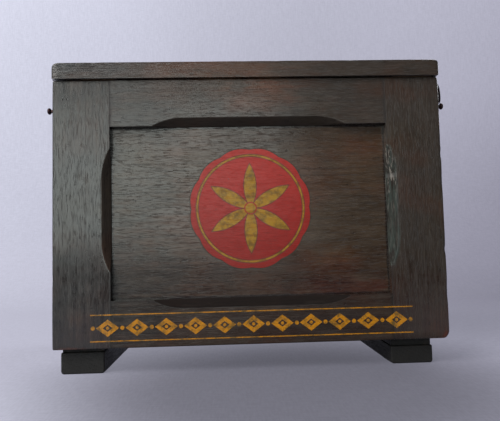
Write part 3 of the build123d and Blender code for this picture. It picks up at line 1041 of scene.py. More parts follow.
def carve(piece: Piece, cutters: Sequence[Mesh]) -> None:
    """Subtract closed meshes from a piece, for good.

    Args:
        piece: The object, whose mesh is replaced.
        cutters: What is cut away; each is freed.
    """
    for index, cutter in enumerate(cutters):
        tool = as_piece(cutter, f"cutter_{index}")
        cut = modify(piece, "BOOLEAN", operation="DIFFERENCE", solver="MANIFOLD", object=tool)
        depsgraph = bpy.context.evaluated_depsgraph_get()
        mesh = bpy.data.meshes.new_from_object(piece.evaluated_get(depsgraph))
        piece.modifiers.remove(cut)
        piece.data = mesh
        bpy.data.objects.remove(tool)


def paint_over(piece: Piece, finish: Material) -> None:
    """Make a finish the piece's only material."""
    piece.data.materials.clear()
    piece.data.materials.append(finish)


def settle(piece: Piece, body: Body, nodes: Sequence[str], finish: Material) -> None:
    """Finish a piece: its material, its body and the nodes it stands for.

    Args:
        piece: The object.
        body: The body it rides on.
        nodes: The nodes that it replaces.
        finish: The material.
    """
    paint_over(piece, finish)
    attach(piece, body.value)
    if nodes:
        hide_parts(*nodes)
    log.info("piece %s on %s, for %s", piece.name, body.value, ", ".join(nodes) or "nothing")


def dress_node(name: str, finish: Material, ease: float) -> None:
    """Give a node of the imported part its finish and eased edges.

    Args:
        name: The node's name.
        finish: The material.
        ease: The width of the eased edges.
    """
    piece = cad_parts[name]
    paint_over(piece, finish)
    soften(piece, ease)
    log.info("node %s dressed", name)


# Boards


@dataclass(frozen=True)
class StopChamfer:
    """A 45 degree chamfer that a round cutter runs out of at both ends."""

    corner: int
    start: float
    end: float
    leg: float = 6.7 * MM
    cutter: float = 76.0 * MM

    def run_out(self) -> float:
        """Give the length over which the chamfer runs out."""
        depth = self.leg / math.sqrt(2)
        return math.sqrt(self.cutter**2 - (self.cutter - depth) ** 2)

    def leg_at(self, along: float) -> float:
        """Give the chamfer's leg at a place along the board.

        Args:
            along: The place along the grain.

        Returns:
            The leg, 0 where there is no chamfer.
        """
        near = min(along - self.start, self.end - along)
        if near <= 0:
            return 0.0
        left = max(self.run_out() - near, 0.0)
        depth = self.leg / math.sqrt(2) - self.cutter + math.sqrt(self.cutter**2 - left**2)
        return depth * math.sqrt(2)


@dataclass(frozen=True)
class Bevel:
    """A plane that a board is cut to: a point on it, its normal towards the waste, and the cut's eased edges."""

    point: Vector
    normal: Vector
    ease: float = 0.35 * MM

    def cut(self, made: Mesh) -> None:
        """Cut a closed mesh, and ease the cut's edges.

        Args:
            made: The mesh, changed in place.
        """
        everything = [*made.verts, *made.edges, *made.faces]
        cut = bmesh.ops.bisect_plane(made, geom=everything, plane_co=self.point, plane_no=self.normal,
                                     clear_outer=True)
        edges = [g for g in cut["geom_cut"] if isinstance(g, bmesh.types.BMEdge)]
        bmesh.ops.edgenet_fill(made, edges=edges)
        rim = [e for e in edges if e.is_valid and len(e.link_faces) == 2]
        bmesh.ops.bevel(made, geom=rim, offset=self.ease, segments=EASE_SEGMENTS, affect="EDGES", profile=0.5)
        bmesh.ops.recalc_face_normals(made, faces=made.faces)


@dataclass
class Board:
    """One planed board with rounded arrises, lofted along its grain.

    Its long arrises are numbered round the section as in CORNERS: low or high along each of
    the two axes across the grain.
    """

    name: str
    low: Vector
    high: Vector
    grain: Grain
    arris: float = 0.8 * MM
    end_arris: float = 0.6 * MM
    corner_arris: Optional[Sequence[float]] = None
    corner_rub: Sequence[float] = (1.0, 1.0, 1.0, 1.0)
    end_rub: Span = (1.0, 1.0)
    corner_wear: float = 0.6
    nicks: float = 0.0
    waviness: float = 0.05 * MM
    seed: float = 0.0
    chamfer: Optional[StopChamfer] = None
    # Painted shade on the chamfer, heaviest on the chamfers that face the lamps.
    chamfer_shade: float = 1.0
    chamfer_scuff: float = 0.0
    end_shares: tuple[float, float, float, float] = (1.0, 1.0, 1.0, 1.0)
    low_end: float = 1.0
    dents: Sequence[tuple[int, float, float, float]] = ()
    bevels: Sequence[Bevel] = ()
    bare_test: Optional[Callable[[Vector], bool]] = None
    wear_reach: float = 3.2 * MM

    CORNERS = ((0, 0), (1, 0), (1, 1), (0, 1))
    WAYS = ((1, 0), (0, 1), (-1, 0), (0, -1))
    ARC_STEPS = 4
    CHAMFER_SHARES = (0.27, 0.5, 0.73)
    CAP_STEPS = 4
    EASE = 0.35 * MM
    STATION = 7.0 * MM
    FINE_STATION = 1.3 * MM
    STATION_GAP = 0.5 * MM
    END_STATION = 3.0 * MM
    COLUMN = 11.0 * MM
    NEAR_COLUMNS = (1.2 * MM, 3.4 * MM)
    NARROW = 12.0 * MM
    NARROW_COLUMNS = (0.33, 0.67)
    LEAST_RADIUS = 0.08 * MM
    CORNER_REACH = 7.0 * MM
    JITTER_RATE = 42.0
    LANE_STEP = 7.3
    RADIUS_SWING = 0.35
    NICK_RATE = 3.1
    NICK_LANE = 20.0
    NICK_START = 0.25
    CHAMFER_SWING = 0.16
    CHAMFER_RATE = 2.3
    CHAMFER_LANE = 31.0
    FLAT_GROWTH = 3.0
    MOST_EASE = 0.2
    LEAST_LEG = 0.4 * MM
    WAVE_RATE = 26.0
    WAVE_SHIFTS = (3.1, 9.7)
    RUB_POWER = 1.5
    JOINT_DIRT = 1.0 * MM
    END_DIRT = 0.8 * MM
    CHAMFER_SHADE_MARGIN = 1.2 * MM
    SCUFF_MARGIN = 1.6 * MM
    GRAIN_OFFSETS = (0.61, 0.173, 0.087)

    def axes(self) -> tuple[int, int, int]:
        """Give the indices of the grain's axis and of the two across it."""
        along = self.grain.value
        return along, (along + 1) % 3, (along + 2) % 3

    def gaps(self, point: Vector) -> list[Span]:
        """Give a point's distances from the low and high sides, along the grain and each way across it."""
        return [(point[axis] - self.low[axis], self.high[axis] - point[axis]) for axis in self.axes()]

    def jitter(self, along: float, lane: float) -> float:
        """Give a smooth random number from -1 to 1 at a place along an arris or face, the lane."""
        return noise.noise(Vector((along * self.JITTER_RATE, lane * self.LANE_STEP, self.seed)))

    def radius_at(self, corner: int, along: float) -> float:
        """Give the radius that wear has left on a long arris.

        Args:
            corner: The arris.
            along: The place along the grain.

        Returns:
            The radius.
        """
        a = self.grain.value
        base = self.corner_arris[corner] if self.corner_arris else self.arris
        near_end = min(along - self.low[a], self.high[a] - along)
        corner_loss = self.corner_wear * math.exp(-max(near_end, 0.0) / self.CORNER_REACH)
        nick = max(self.jitter(along * self.NICK_RATE, corner + self.NICK_LANE) - self.NICK_START, 0.0) * self.nicks
        dent = sum(depth * math.exp(-(((along - at) / half) ** 2)) for c, at, half, depth in self.dents if c == corner)
        return base * (1.0 + self.RADIUS_SWING * self.jitter(along, corner) + corner_loss + nick) + dent

    def corner_path(self, corner: int, along: float, inset: float) -> list[Span]:
        """Give an arris's points in steps back along its two sides.

        Args:
            corner: The arris.
            along: The place along the grain.
            inset: How far the section is drawn in for the board's end.

        Returns:
            Pairs of a distance back along the side before and on along the side after.
        """
        radius = max(self.radius_at(corner, along) - inset, self.LEAST_RADIUS)
        if self.chamfer is None or corner != self.chamfer.corner:
            return [quarter_arc(radius, i / self.ARC_STEPS) for i in range(self.ARC_STEPS + 1)]
        swing = self.CHAMFER_SWING * self.chamfer_scuff * self.jitter(along * self.CHAMFER_RATE, self.CHAMFER_LANE)
        leg = max(self.chamfer.leg_at(along) * (1.0 + swing), radius)
        flat = min(max((leg - radius) / (self.FLAT_GROWTH * radius), 0.0), 1.0)
        reach = leg + self.EASE * flat
        ease = min(self.EASE / leg, self.MOST_EASE)
        slopes = [(leg * (1 - share), leg * share) for share in (ease, *self.CHAMFER_SHARES, 1.0 - ease)]
        straights = [(reach, 0.0), *slopes, (0.0, reach)]
        arcs = [quarter_arc(reach, i / (len(straights) - 1)) for i in range(len(straights))]
        return [tuple(a * (1 - flat) + s * flat for a, s in zip(*pair)) for pair in zip(arcs, straights)]

    def columns(self, length: float) -> list[float]:
        """Give the shares of a side at which it has points between its arrises.

        Args:
            length: The side's length.

        Returns:
            Shares from 0 to 1, without the ends.
        """
        if length < self.NARROW:
            return list(self.NARROW_COLUMNS)
        near = list(self.NEAR_COLUMNS)
        middle = length - 2 * near[-1]
        count = max(int(round(middle / self.COLUMN)), 2)
        inner = [near[-1] + middle * i / count for i in range(1, count)]
        return [place / length for place in (*near, *inner, *(length - d for d in reversed(near)))]

    def section(self, along: float, inset: float) -> list[Vector]:
        """Give the closed outline of the board at one place.

        Args:
            along: The place along the grain.
            inset: How far the outline is drawn in.

        Returns:
            The outline's points.
        """
        a, v, w = self.axes()
        shares = self.end_shares
        v_ends = (self.low[v] + inset * shares[0], self.high[v] - inset * shares[1])
        w_ends = (self.low[w] + inset * shares[2], self.high[w] - inset * shares[3])
        paths = []
        for corner, (i, j) in enumerate(self.CORNERS):
            before, after = self.WAYS[corner - 1], self.WAYS[corner]
            paths.append([
                (v_ends[i] - before[0] * b + after[0] * f, w_ends[j] - before[1] * b + after[1] * f)
                for b, f in self.corner_path(corner, along, inset)
            ])
        outline = []
        for i, path in enumerate(paths):
            (v0, w0), (v1, w1) = path[-1], paths[(i + 1) % 4][0]
            side = (v, w)[i % 2]
            columns = self.columns(self.high[side] - self.low[side])
            outline += path + [(v0 + (v1 - v0) * s, w0 + (w1 - w0) * s) for s in columns]
        points = []
        for pv, pw in outline:
            point = Vector(ORIGIN)
            point[a], point[v], point[w] = along, pv, pw
            points.append(point)
        return points

    def stations(self) -> list[Span]:
        """Give the places along the grain, with how far each section is drawn in.

        Returns:
            Pairs of place and inset, from the low end to the high end.
        """
        start, end, round_off = self.low[self.grain.value], self.high[self.grain.value], self.end_arris
        first_off = round_off * self.low_end
        count = max(int((end - start) / self.STATION), 2)
        marks = [start + first_off, end - round_off, start + first_off + self.END_STATION, end - self.END_STATION]
        marks += [start + (end - start) * i / count for i in range(1, count)]
        if self.chamfer is not None:
            run = self.chamfer.run_out()
            steps = int(run / self.FINE_STATION)
            for i in range(-1, steps + 1):
                marks += [self.chamfer.start + run * i / steps, self.chamfer.end - run * i / steps]
        inner = sorted(mark for mark in marks if start + first_off <= mark <= end - round_off)
        kept = [inner[0]]
        for mark in inner[1:]:
            if mark - kept[-1] > self.STATION_GAP:
                kept.append(mark)
        caps = [quarter_arc(round_off, i / self.CAP_STEPS) for i in range(1, self.CAP_STEPS + 1)]
        first = [(start + out * self.low_end, inset * self.low_end) for out, inset in reversed(caps)]
        return first + [(place, 0.0) for place in kept] + [(end - out, inset) for out, inset in caps]

    def mesh(self) -> Mesh:
        """Loft the board and cut it to its bevels.

        Returns:
            A closed mesh.
        """
        made = skin([
            [point + self.undulation(point) for point in self.section(along, inset)]
            for along, inset in self.stations()
        ])
        for bevel in self.bevels:
            bevel.cut(made)
        return made

    def undulation(self, point: Vector) -> Vector:
        """Give the small hand-planed unevenness at a point.

        Args:
            point: The point.

        Returns:
            How far it's moved.
        """
        _, v, w = self.axes()
        spot = point * self.WAVE_RATE
        moved = Vector(ORIGIN)
        first, second = self.WAVE_SHIFTS
        for axis, shift in ((v, Vector((self.seed, 0.0, first))), (w, Vector((0.0, self.seed, second)))):
            half = (self.high[axis] - self.low[axis]) / 2
            outward = (point[axis] - self.low[axis] - half) / half
            moved[axis] = -outward * self.waviness * (0.5 + 0.5 * noise.noise(spot + shift))
        return moved

    def rub(self, point: Vector) -> float:
        """Give how much handling a point on the surface has had.

        Args:
            point: The point.

        Returns:
            1 on a much rubbed arris, and 0 away from the arrises.
        """
        ends, to_v, to_w = self.gaps(point)
        marks = []
        for corner, (i, j) in enumerate(self.CORNERS):
            gap = math.hypot(to_v[i], to_w[j])
            if self.chamfer is not None and corner == self.chamfer.corner:
                leg = self.chamfer.leg_at(point[self.grain.value])
                gap = min(math.hypot(to_v[i] - leg, to_w[j]), math.hypot(to_v[i], to_w[j] - leg))
            marks.append((self.corner_rub[corner], gap))
        side_gap = min(*to_v, *to_w)
        marks += [(share, math.hypot(gap, side_gap)) for share, gap in zip(self.end_rub, ends)]
        closeness = ((share, max(1.0 - gap / self.wear_reach, 0.0)) for share, gap in marks)
        return max(0.0, *(share * near**self.RUB_POWER for share, near in closeness))

    def on_chamfer(self, point: Vector, margin: float) -> bool:
        """Tell whether a point lies on the chamfer.

        Args:
            point: The point.
            margin: How far past the chamfer's edges still counts.

        Returns:
            True on the chamfer.
        """
        if self.chamfer is None:
            return False
        _, to_v, to_w = self.gaps(point)
        i, j = self.CORNERS[self.chamfer.corner]
        leg = self.chamfer.leg_at(point[self.grain.value])
        return leg > self.LEAST_LEG and to_v[i] + to_w[j] < leg + margin

    def dirt_and_shade(self, point: Vector) -> float:
        """Give how dark a point is made: painted shade on the chamfer, and dirt where a rub below 0 marks a joint.

        Args:
            point: The point.

        Returns:
            1 in the darkest places.
        """
        ends, to_v, to_w = self.gaps(point)
        corners = [math.hypot(to_v[i], to_w[j]) for i, j in self.CORNERS]
        marks = [(share, gap / self.JOINT_DIRT) for share, gap in zip(self.corner_rub, corners)]
        marks += [(share, gap / self.END_DIRT) for share, gap in zip(self.end_rub, ends)]
        # Painted shade on the chamfer, set per board.
        on_chamfer = self.chamfer_shade if self.on_chamfer(point, self.CHAMFER_SHADE_MARGIN) else 0.0
        return max(on_chamfer, *(-share * max(1.0 - gap, 0.0) for share, gap in marks))

    def dress(self, piece: Piece) -> None:
        """Write the attributes that the finish reads.

        Args:
            piece: The board's object.
        """
        attributes = piece.data.attributes
        points = [vertex.co.copy() for vertex in piece.data.vertices]
        offset = Vector([self.seed * share for share in self.GRAIN_OFFSETS])
        grain = [p[axis] + shift for p in points for axis, shift in zip(self.axes(), offset)]
        attributes.new("grain", "FLOAT_VECTOR", "POINT").data.foreach_set("vector", grain)
        for name, measure in (
            ("wear", self.rub),
            ("bare", lambda p: float(bool(self.bare_test and self.bare_test(p)))),
            ("grime_and_shade", self.dirt_and_shade),
            ("scuff", lambda p: self.chamfer_scuff if self.on_chamfer(p, self.SCUFF_MARGIN) else 0.0),
        ):
            attributes.new(name, "FLOAT", "POINT").data.foreach_set("value", [measure(p) for p in points])

    def lay(self, body: Body, node: str, slot: str, finish: Material,
            seats: Sequence[Mesh] = ()) -> Piece:
        """Make the board's piece, in a node's place.

        Args:
            body: The body it rides on.
            node: The node that it replaces.
            slot: Not used.
            finish: The material.
            seats: What is let into it.

        Returns:
            The piece.
        """
        piece = as_piece(self.mesh(), self.name)
        carve(piece, seats)
        self.dress(piece)
        keep_flats(piece)
        settle(piece, body, [node], finish)
        return piece


# Sub-assemblies


class Finishes:
    """Every material of the case, made once."""

    def __init__(self) -> None:
        """Build the materials."""
        self.oak = OakFinish("oak_frame", patches=FRONT_STAIN_AND_LIGHT_PATCHES).build()
        painted = OakFinish("oak_frame_painted", patches=FRONT_STAIN_AND_LIGHT_PATCHES, paint=PaintWork.BORDER)
        self.oak_border = painted.build()
        self.oak_low_rail = replace(painted, name="oak_low_rail_painted", specular=0.34).build()
        self.oak_chamfer = OakFinish("oak_chamfer", roughness=0.55, specular=0.25).build()
        panel = OakFinish(
            "oak_panel", dark=(0.0215, 0.0138, 0.0088), light=(0.0600, 0.0390, 0.0240), tint_amount=0.5,
            sheen_swing=0.42, patches=FRONT_STAIN_AND_LIGHT_PATCHES, paint=PaintWork.ROSETTE,
        )
        self.oak_panel = panel.build()
        self.oak_disc = replace(panel, name="oak_panel_painted", specular=0.22).build()
        self.oak_inner = OakFinish(
            "oak_inner", dark=(0.10, 0.06, 0.034), light=(0.22, 0.145, 0.085), worn=(0.26, 0.17, 0.10),
            roughness=0.62, tint_amount=0.3,
        ).build()
        self.runner = OakFinish(
            "runner_wood", dark=(0.0036, 0.0034, 0.0033), light=(0.0125, 0.0115, 0.0106),
            worn=(0.030, 0.020, 0.015), roughness=0.62, wear_amount=0.5, tint_amount=0.1, specular=0.35,
        ).build()
        self.brass_dark = MetalFinish(
            "brass_dark", base=(0.036, 0.017, 0.020), patina=(0.012, 0.008, 0.010), bright=(0.14, 0.08, 0.07),
            roughness=0.56,
        ).build()
        self.brass_hinge = MetalFinish(
            "brass_hinge", base=(0.34, 0.22, 0.085), patina=(0.12, 0.075, 0.035), bright=(0.62, 0.44, 0.20),
        ).build()
        self.steel = MetalFinish(
            "dull_steel", base=(0.26, 0.25, 0.235), patina=(0.10, 0.075, 0.055), bright=(0.55, 0.54, 0.52),
        ).build()


@dataclass
class FrontFrame:
    """The stiles, rails and panel of the case's front."""

    finishes: Finishes
    rail_stop: float = 35.0 * MM
    stile_top_stop: float = 18.0 * MM
    stile_bottom_stop: float = 23.0 * MM
    joint_arris: float = 0.12 * MM
    outer_arris: float = 0.9 * MM
    back_arris: float = 0.5 * MM
    right_growth: float = 1.2
    chamfer_margin: float = 0.45 * MM
    disc_rings: int = 9
    disc_steps: int = 144
    disc_skin: float = 0.05 * MM
    disc_sink: float = 0.3 * MM
    right_dents: tuple[tuple[int, float, float, float], ...] = (
        (1, 178.0 * MM, 3.5 * MM, 1.6 * MM),
        (1, 155.0 * MM, 6.0 * MM, 0.9 * MM),
        (1, 96.0 * MM, 4.0 * MM, 1.4 * MM),
        (1, 58.0 * MM, 5.0 * MM, 1.2 * MM),
        (1, 21.5 * MM, 4.0 * MM, 2.4 * MM),
    )

    def build(self) -> None:
        """Make the five boards of the front, and the paint on the panel."""
        left_low, left_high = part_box("front_left_stile")
        right_low, right_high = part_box("front_right_stile")
        stile_run = (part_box("front_bottom_rail")[1].z + self.stile_bottom_stop,
                     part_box("front_top_rail")[0].z - self.stile_top_stop)
        rail_run = (left_high.x + self.rail_stop, right_low.x - self.rail_stop)
        outer, joint, back = self.outer_arris, self.joint_arris, self.back_arris
        # Each stile's chamfer gets painted shade: none on the left one, which faces away from the lamps, and much on
        # the right one, which faces them.
        self.fit(
            Board("stile_left", left_low, left_high, Grain.Z, seed=1.3, end_arris=0.9 * MM,
                  corner_arris=(outer, joint, back, back), corner_rub=(0.9, -0.75, 0.0, 0.0), nicks=2.0,
                  end_rub=(1.3, 0.5), chamfer=StopChamfer(1, *stile_run), chamfer_shade=0.0),
            "front_left_stile", self.finishes.oak_border)
        self.fit(
            Board("stile_right", right_low, right_high, Grain.Z, seed=2.9, end_arris=2.2 * MM, low_end=2.4,
                  corner_arris=(joint, outer * self.right_growth, back, back),
                  corner_rub=(-0.95, 1.0, 0.0, 0.0), nicks=3.5,
                  end_rub=(1.5, 0.6), chamfer=StopChamfer(0, *stile_run), chamfer_shade=0.85, chamfer_scuff=1.0,
                  end_shares=(0.05, 1.0, 0.25, 0.25), dents=self.right_dents),
            "front_right_stile", self.finishes.oak_border)
        # The third number is the painted shade on each rail's chamfer, heaviest on the bottom rail's, which faces up to
        # the lamps.
        for name, corner, grime_and_shade, seed, finish in (
            ("top", 0, 0.25, 4.7, self.finishes.oak_border),
            ("bottom", 3, 1.15, 6.1, self.finishes.oak_low_rail),
        ):
            low, high = (end.copy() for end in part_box(f"front_{name}_rail"))
            low.x, high.x = left_high.x, right_low.x
            arrises, rub = [outer, back, back, back], [0.9, 0.0, 0.0, 0.4]
            arrises[corner], rub[corner] = joint, -0.8
            self.fit(
                Board(f"rail_{name}", low, high, Grain.X, seed=seed, end_arris=joint, corner_wear=0.0, nicks=1.0,
                      corner_arris=arrises, corner_rub=rub, end_rub=(-0.9, -0.9),
                      chamfer=StopChamfer(corner, *rail_run), chamfer_shade=grime_and_shade),
                f"front_{name}_rail", finish)
        panel = Board("panel", *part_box("front_panel"), Grain.X, seed=8.2, arris=0.4 * MM, end_arris=0.4 * MM,
                      waviness=0.3 * MM)
        panel.lay(Body.CARCASS, "front_panel", "panel_oak", self.finishes.oak_panel)
        self.paint_disc(panel)

    def fit(self, board: Board, node: str, finish: Material) -> None:
        """Make a board of the frame, and give the faces of its chamfer their own dull finish.

        Args:
            board: The board.
            node: The node that it replaces.
            finish: The material of its other faces.
        """
        piece = board.lay(Body.CARCASS, node, "frame_oak", finish)
        piece.data.materials.append(self.finishes.oak_chamfer)
        for polygon in piece.data.polygons:
            if board.on_chamfer(polygon.center, self.chamfer_margin):
                polygon.material_index = 1

    def paint_disc(self, panel: Board) -> None:
        """Lay the painted disc on the panel, as a skin of paint that follows its face.

        Args:
            panel: The panel's board.
        """
        paint = Painting()
        angles = [2 * math.pi * i / self.disc_steps for i in range(self.disc_steps)]
        layers = [(i / self.disc_rings, -self.disc_skin) for i in range(1, self.disc_rings + 1)]
        rings = []
        for share, sink in (*layers, (1.0, self.disc_sink)):
            ring = []
            for angle in angles:
                reach = share * paint.reach_at(angle)
                point = Vector((paint.centre_x + reach * math.cos(angle), panel.low.y,
                                paint.centre_z + reach * math.sin(angle)))
                point.y += panel.undulation(point).y + sink
                ring.append(point)
            rings.append(ring)
        piece = as_piece(skin(rings), "panel_disc")
        panel.dress(piece)
        settle(piece, Body.CARCASS, [], self.finishes.oak_disc)


@dataclass
class HingeSeats:
    """Where the hinges' leaves and barrels are let into the boards."""

    slack: float = 0.15 * MM
    barrel_slack: float = 0.3 * MM
    leaf_side: float = 1.75 * MM
    far_side: float = 1.0 * MM

    def cutters(self, leaf_suffix: str, up: int) -> list[Mesh]:
        """Give what is cut out of one board for both hinges.

        Args:
            leaf_suffix: The end of the leaves' node names.
            up: 1 where the board lies above the hinge line and -1 where it lies below.

        Returns:
            The cutters, a box and a cylinder for each hinge.
        """
        made = []
        for hand in ("left", "right"):
            leaf_low, leaf_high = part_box(f"{hand}_hinge_{leaf_suffix}")
            pivot = middle_of(f"{hand}_hinge_pin")
            low_z, high_z = sorted((pivot.z - up * self.far_side, pivot.z + up * self.leaf_side))
            low = Vector((leaf_low.x - self.slack, leaf_low.y - self.slack, low_z))
            made.append(box_mesh(low, Vector((leaf_high.x + self.slack, pivot.y, high_z))))
            barrel = leaf_high.y - pivot.y + self.barrel_slack
            length = leaf_high.x - leaf_low.x + 2 * self.barrel_slack
            start = Vector((leaf_low.x - self.barrel_slack, pivot.y, pivot.z))
            made.append(lathe([(0.0, barrel), (length, barrel)], Vector((1, 0, 0)), start))
        return made


@dataclass
class Carcass:
    """The sides, back and bottom boards behind the front frame."""

    finishes: Finishes
    bare_margin: float = 0.4 * MM

    def build(self) -> None:
        """Make the four boards."""
        _, stile_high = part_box("front_left_stile")
        left_low, left_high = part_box("left_side_board")
        right_low, right_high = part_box("right_side_board")
        back_low, back_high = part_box("back_board")
        bottom_low, bottom_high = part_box("bottom_board")
        front, inner_x, inner_y = stile_high.y, left_high.x, back_high.y - BACK_THICK
        near = self.bare_margin
        bevels = [Bevel(Vector((0.0, middle_of("left_hinge_pin").y, stile_high.z)),
                        Vector((0.0, math.sin(LID_OPEN / 2), math.cos(LID_OPEN / 2))))]
        sides = (
            Board("side_left", Vector((left_low.x, front, left_low.z)), left_high, Grain.Z, seed=11.4,
                  bevels=bevels, bare_test=lambda p: p.x > inner_x - near),
            Board("side_right", Vector((right_low.x, front, right_low.z)), right_high, Grain.Z, seed=13.7,
                  bevels=bevels, low_end=6.0, end_shares=(0.1, 1.0, 0.1, 0.4),
                  bare_test=lambda p: p.x < -inner_x + near),
        )
        for board, node in zip(sides, ("left_side_board", "right_side_board")):
            board.lay(Body.CARCASS, node, "frame_oak", self.finishes.oak)
        back = Board("back", Vector((inner_x, inner_y, back_low.z)), Vector((-inner_x, back_high.y, back_high.z)),
                     Grain.X, seed=15.9, arris=0.6 * MM, end_arris=0.3 * MM, corner_wear=0.0, bevels=bevels,
                     bare_test=lambda p: p.y < inner_y + near)
        back.lay(Body.CARCASS, "back_board", "frame_oak", self.finishes.oak, HingeSeats().cutters("carcass_leaf", -1))
        bottom = Board("bottom", Vector((inner_x, front, bottom_low.z)), Vector((-inner_x, inner_y, bottom_high.z)),
                       Grain.X, seed=17.2, arris=0.4 * MM, end_arris=0.3 * MM, corner_wear=0.0)
        bottom.lay(Body.CARCASS, "bottom_board", "inner_oak", self.finishes.oak_inner)


@dataclass
class Lid:
    """The lid board and its two battens."""

    finishes: Finishes
    arris: float = 0.6 * MM
    low_front_arris: float = 0.25 * MM
    end_arris: float = 4.2 * MM
    bare_height: float = 0.1 * MM
    bare_inset: float = 2.0 * MM
    batten_bevel: float = 4.0 * MM
    batten_ease: float = 0.3 * MM

    def build(self) -> None:
        """Make the lid's pieces."""
        low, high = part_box("lid_board")
        bevel = Bevel(Vector((0.0, middle_of("left_hinge_pin").y, low.z)),
                      Vector((0.0, math.sin(LID_OPEN / 2), -math.cos(LID_OPEN / 2))))
        board = Board("lid", low, high, Grain.X, seed=21.5, end_arris=self.end_arris, bevels=[bevel],
                      corner_arris=(self.low_front_arris, self.arris, self.arris, self.arris),
                      corner_rub=(0.1, 0.6, 0.7, 0.7), corner_wear=0.8, waviness=0.2 * MM,
                      wear_reach=3.0 * MM, nicks=2.5, end_shares=(0.3, 0.4, 0.15, 0.85), low_end=1.3,
                      bare_test=lambda p: p.z < low.z + self.bare_height and p.y > low.y + self.bare_inset)
        board.lay(Body.LID, "lid_board", "frame_oak", self.finishes.oak, HingeSeats().cutters("lid_leaf", 1))
        for hand, seed in (("left", 23.8), ("right", 25.1)):
            self.batten(hand, seed)

    def batten(self, hand: str, seed: float) -> None:
        """Make one batten with bevelled lower edges.

        Args:
            hand: Left or right.
            seed: The board's own random number.
        """
        node = f"{hand}_lid_batten"
        low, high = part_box(node)
        bevels = []
        for axis, side in ((0, -1), (0, 1), (1, -1), (1, 1)):
            point, normal = middle_of(node), Vector((0.0, 0.0, -1.0))
            point[axis] = (high if side > 0 else low)[axis] - side * self.batten_bevel
            point.z, normal[axis] = low.z, side
            bevels.append(Bevel(point, normal.normalized(), self.batten_ease))
        board = Board(f"batten_{hand}", low, high, Grain.Y, seed=seed, arris=0.5 * MM, end_arris=0.5 * MM,
                      bevels=bevels)
        board.lay(Body.LID, node, "inner_oak", self.finishes.oak_inner)


@dataclass
class Feet:
    """The two runners and the strips that pack them off the bottom."""

    finishes: Finishes
    low_arris: float = 1.8 * MM
    top_arris: float = 0.8 * MM
    strip_arris: float = 0.4 * MM

    def build(self) -> None:
        """Make the runners and strips."""
        low, top, edge = self.low_arris, self.top_arris, self.strip_arris
        for hand, seed in (("left", 31.6), ("right", 33.9)):
            runner, strip = f"{hand}_runner", f"{hand}_packing_strip"
            for board, node in (
                (Board(f"runner_{hand}", *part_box(runner), Grain.Y, seed=seed, end_arris=1.3 * MM,
                       corner_arris=(low, top, top, low), waviness=0.12 * MM), runner),
                (Board(f"strip_{hand}", *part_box(strip), Grain.Y, seed=seed + 1.1, arris=edge, end_arris=edge), strip),
            ):
                board.lay(Body.CARCASS, node, "runner_wood", self.finishes.runner)


@dataclass
class Hinges:
    """The two butt hinges with their pins and slotted screws."""

    finishes: Finishes
    leaf_ease: float = 0.22 * MM
    screw_ease: float = 0.08 * MM
    slot_width: float = 0.75 * MM
    slot_depth: float = 0.55 * MM
    slot_reach: float = 0.6
    turn_rate: float = 300.0

    def build(self) -> None:
        """Dress the leaves and pins, and make the screws."""
        for hand in ("left", "right"):
            for part in ("carcass_leaf", "lid_leaf"):
                dress_node(f"{hand}_hinge_{part}", self.finishes.brass_hinge, self.leaf_ease)
            dress_node(f"{hand}_hinge_pin", self.finishes.steel, self.leaf_ease)
        self.screws("hinge_carcass_screws", Body.CARCASS, 1)
        self.screws("hinge_lid_screws", Body.LID, -1)

    def screws(self, node: str, body: Body, up: int) -> None:
        """Cut a slot in the head of each screw of one board.

        Args:
            node: The screws' node.
            body: The body they ride on.
            up: 1 where the heads point up and -1 where they point down.
        """
        made = welded(node)
        slots = [self.slot(screw, up) for screw in self.separate(made)]
        piece = as_piece(made, node.replace("hinge_", "hinge_slotted_"))
        carve(piece, slots)
        settle(piece, body, [node], self.finishes.brass_hinge)
        soften(piece, self.screw_ease)

    def separate(self, made: Mesh) -> list[list[Vector]]:
        """Give the points of each screw of a mesh, in the mesh's order.

        Args:
            made: The mesh of all the screws.

        Returns:
            A list of points for each screw.
        """
        seen, screws = set(), []
        for start in made.verts:
            if start in seen:
                continue
            seen.add(start)
            joined = [start]
            for vertex in joined:
                for edge in vertex.link_edges:
                    other = edge.other_vert(vertex)
                    if other not in seen:
                        seen.add(other)
                        joined.append(other)
            screws.append([vertex.co for vertex in joined])
        return screws

    def slot(self, screw: Sequence[Vector], up: int) -> Mesh:
        """Make the cutter of one screw's slot, turned at random.

        Args:
            screw: The screw's points.
            up: 1 where its head points up and -1 where it points down.

        Returns:
            The cutter.
        """
        low, high = (Vector([pick(p[i] for p in screw) for i in range(3)]) for pick in (min, max))
        middle = (low + high) / 2
        head = Vector((0.0, 0.0, high.z if up > 0 else low.z))
        reach = Vector(((high.x - low.x) * self.slot_reach, self.slot_width / 2, self.slot_depth))
        made = box_mesh(head - reach, head + reach)
        turn = Matrix.Rotation(noise.noise(middle * self.turn_rate) * math.pi, 4, "Z")
        bmesh.ops.transform(made, matrix=Matrix.Translation((middle.x, middle.y, 0.0)) @ turn, verts=made.verts)
        return made


@dataclass(frozen=True)
class Hand:
    """One side of the case: its name, -1 on the left or 1 on the right, and its hook's body."""

    name: str
    side: int
    body: Body

    def face(self) -> float:
        """Give how far the stile's outer face is from the middle."""
        return abs(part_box(f"front_{self.name}_stile")[1 if self.side > 0 else 0].x)


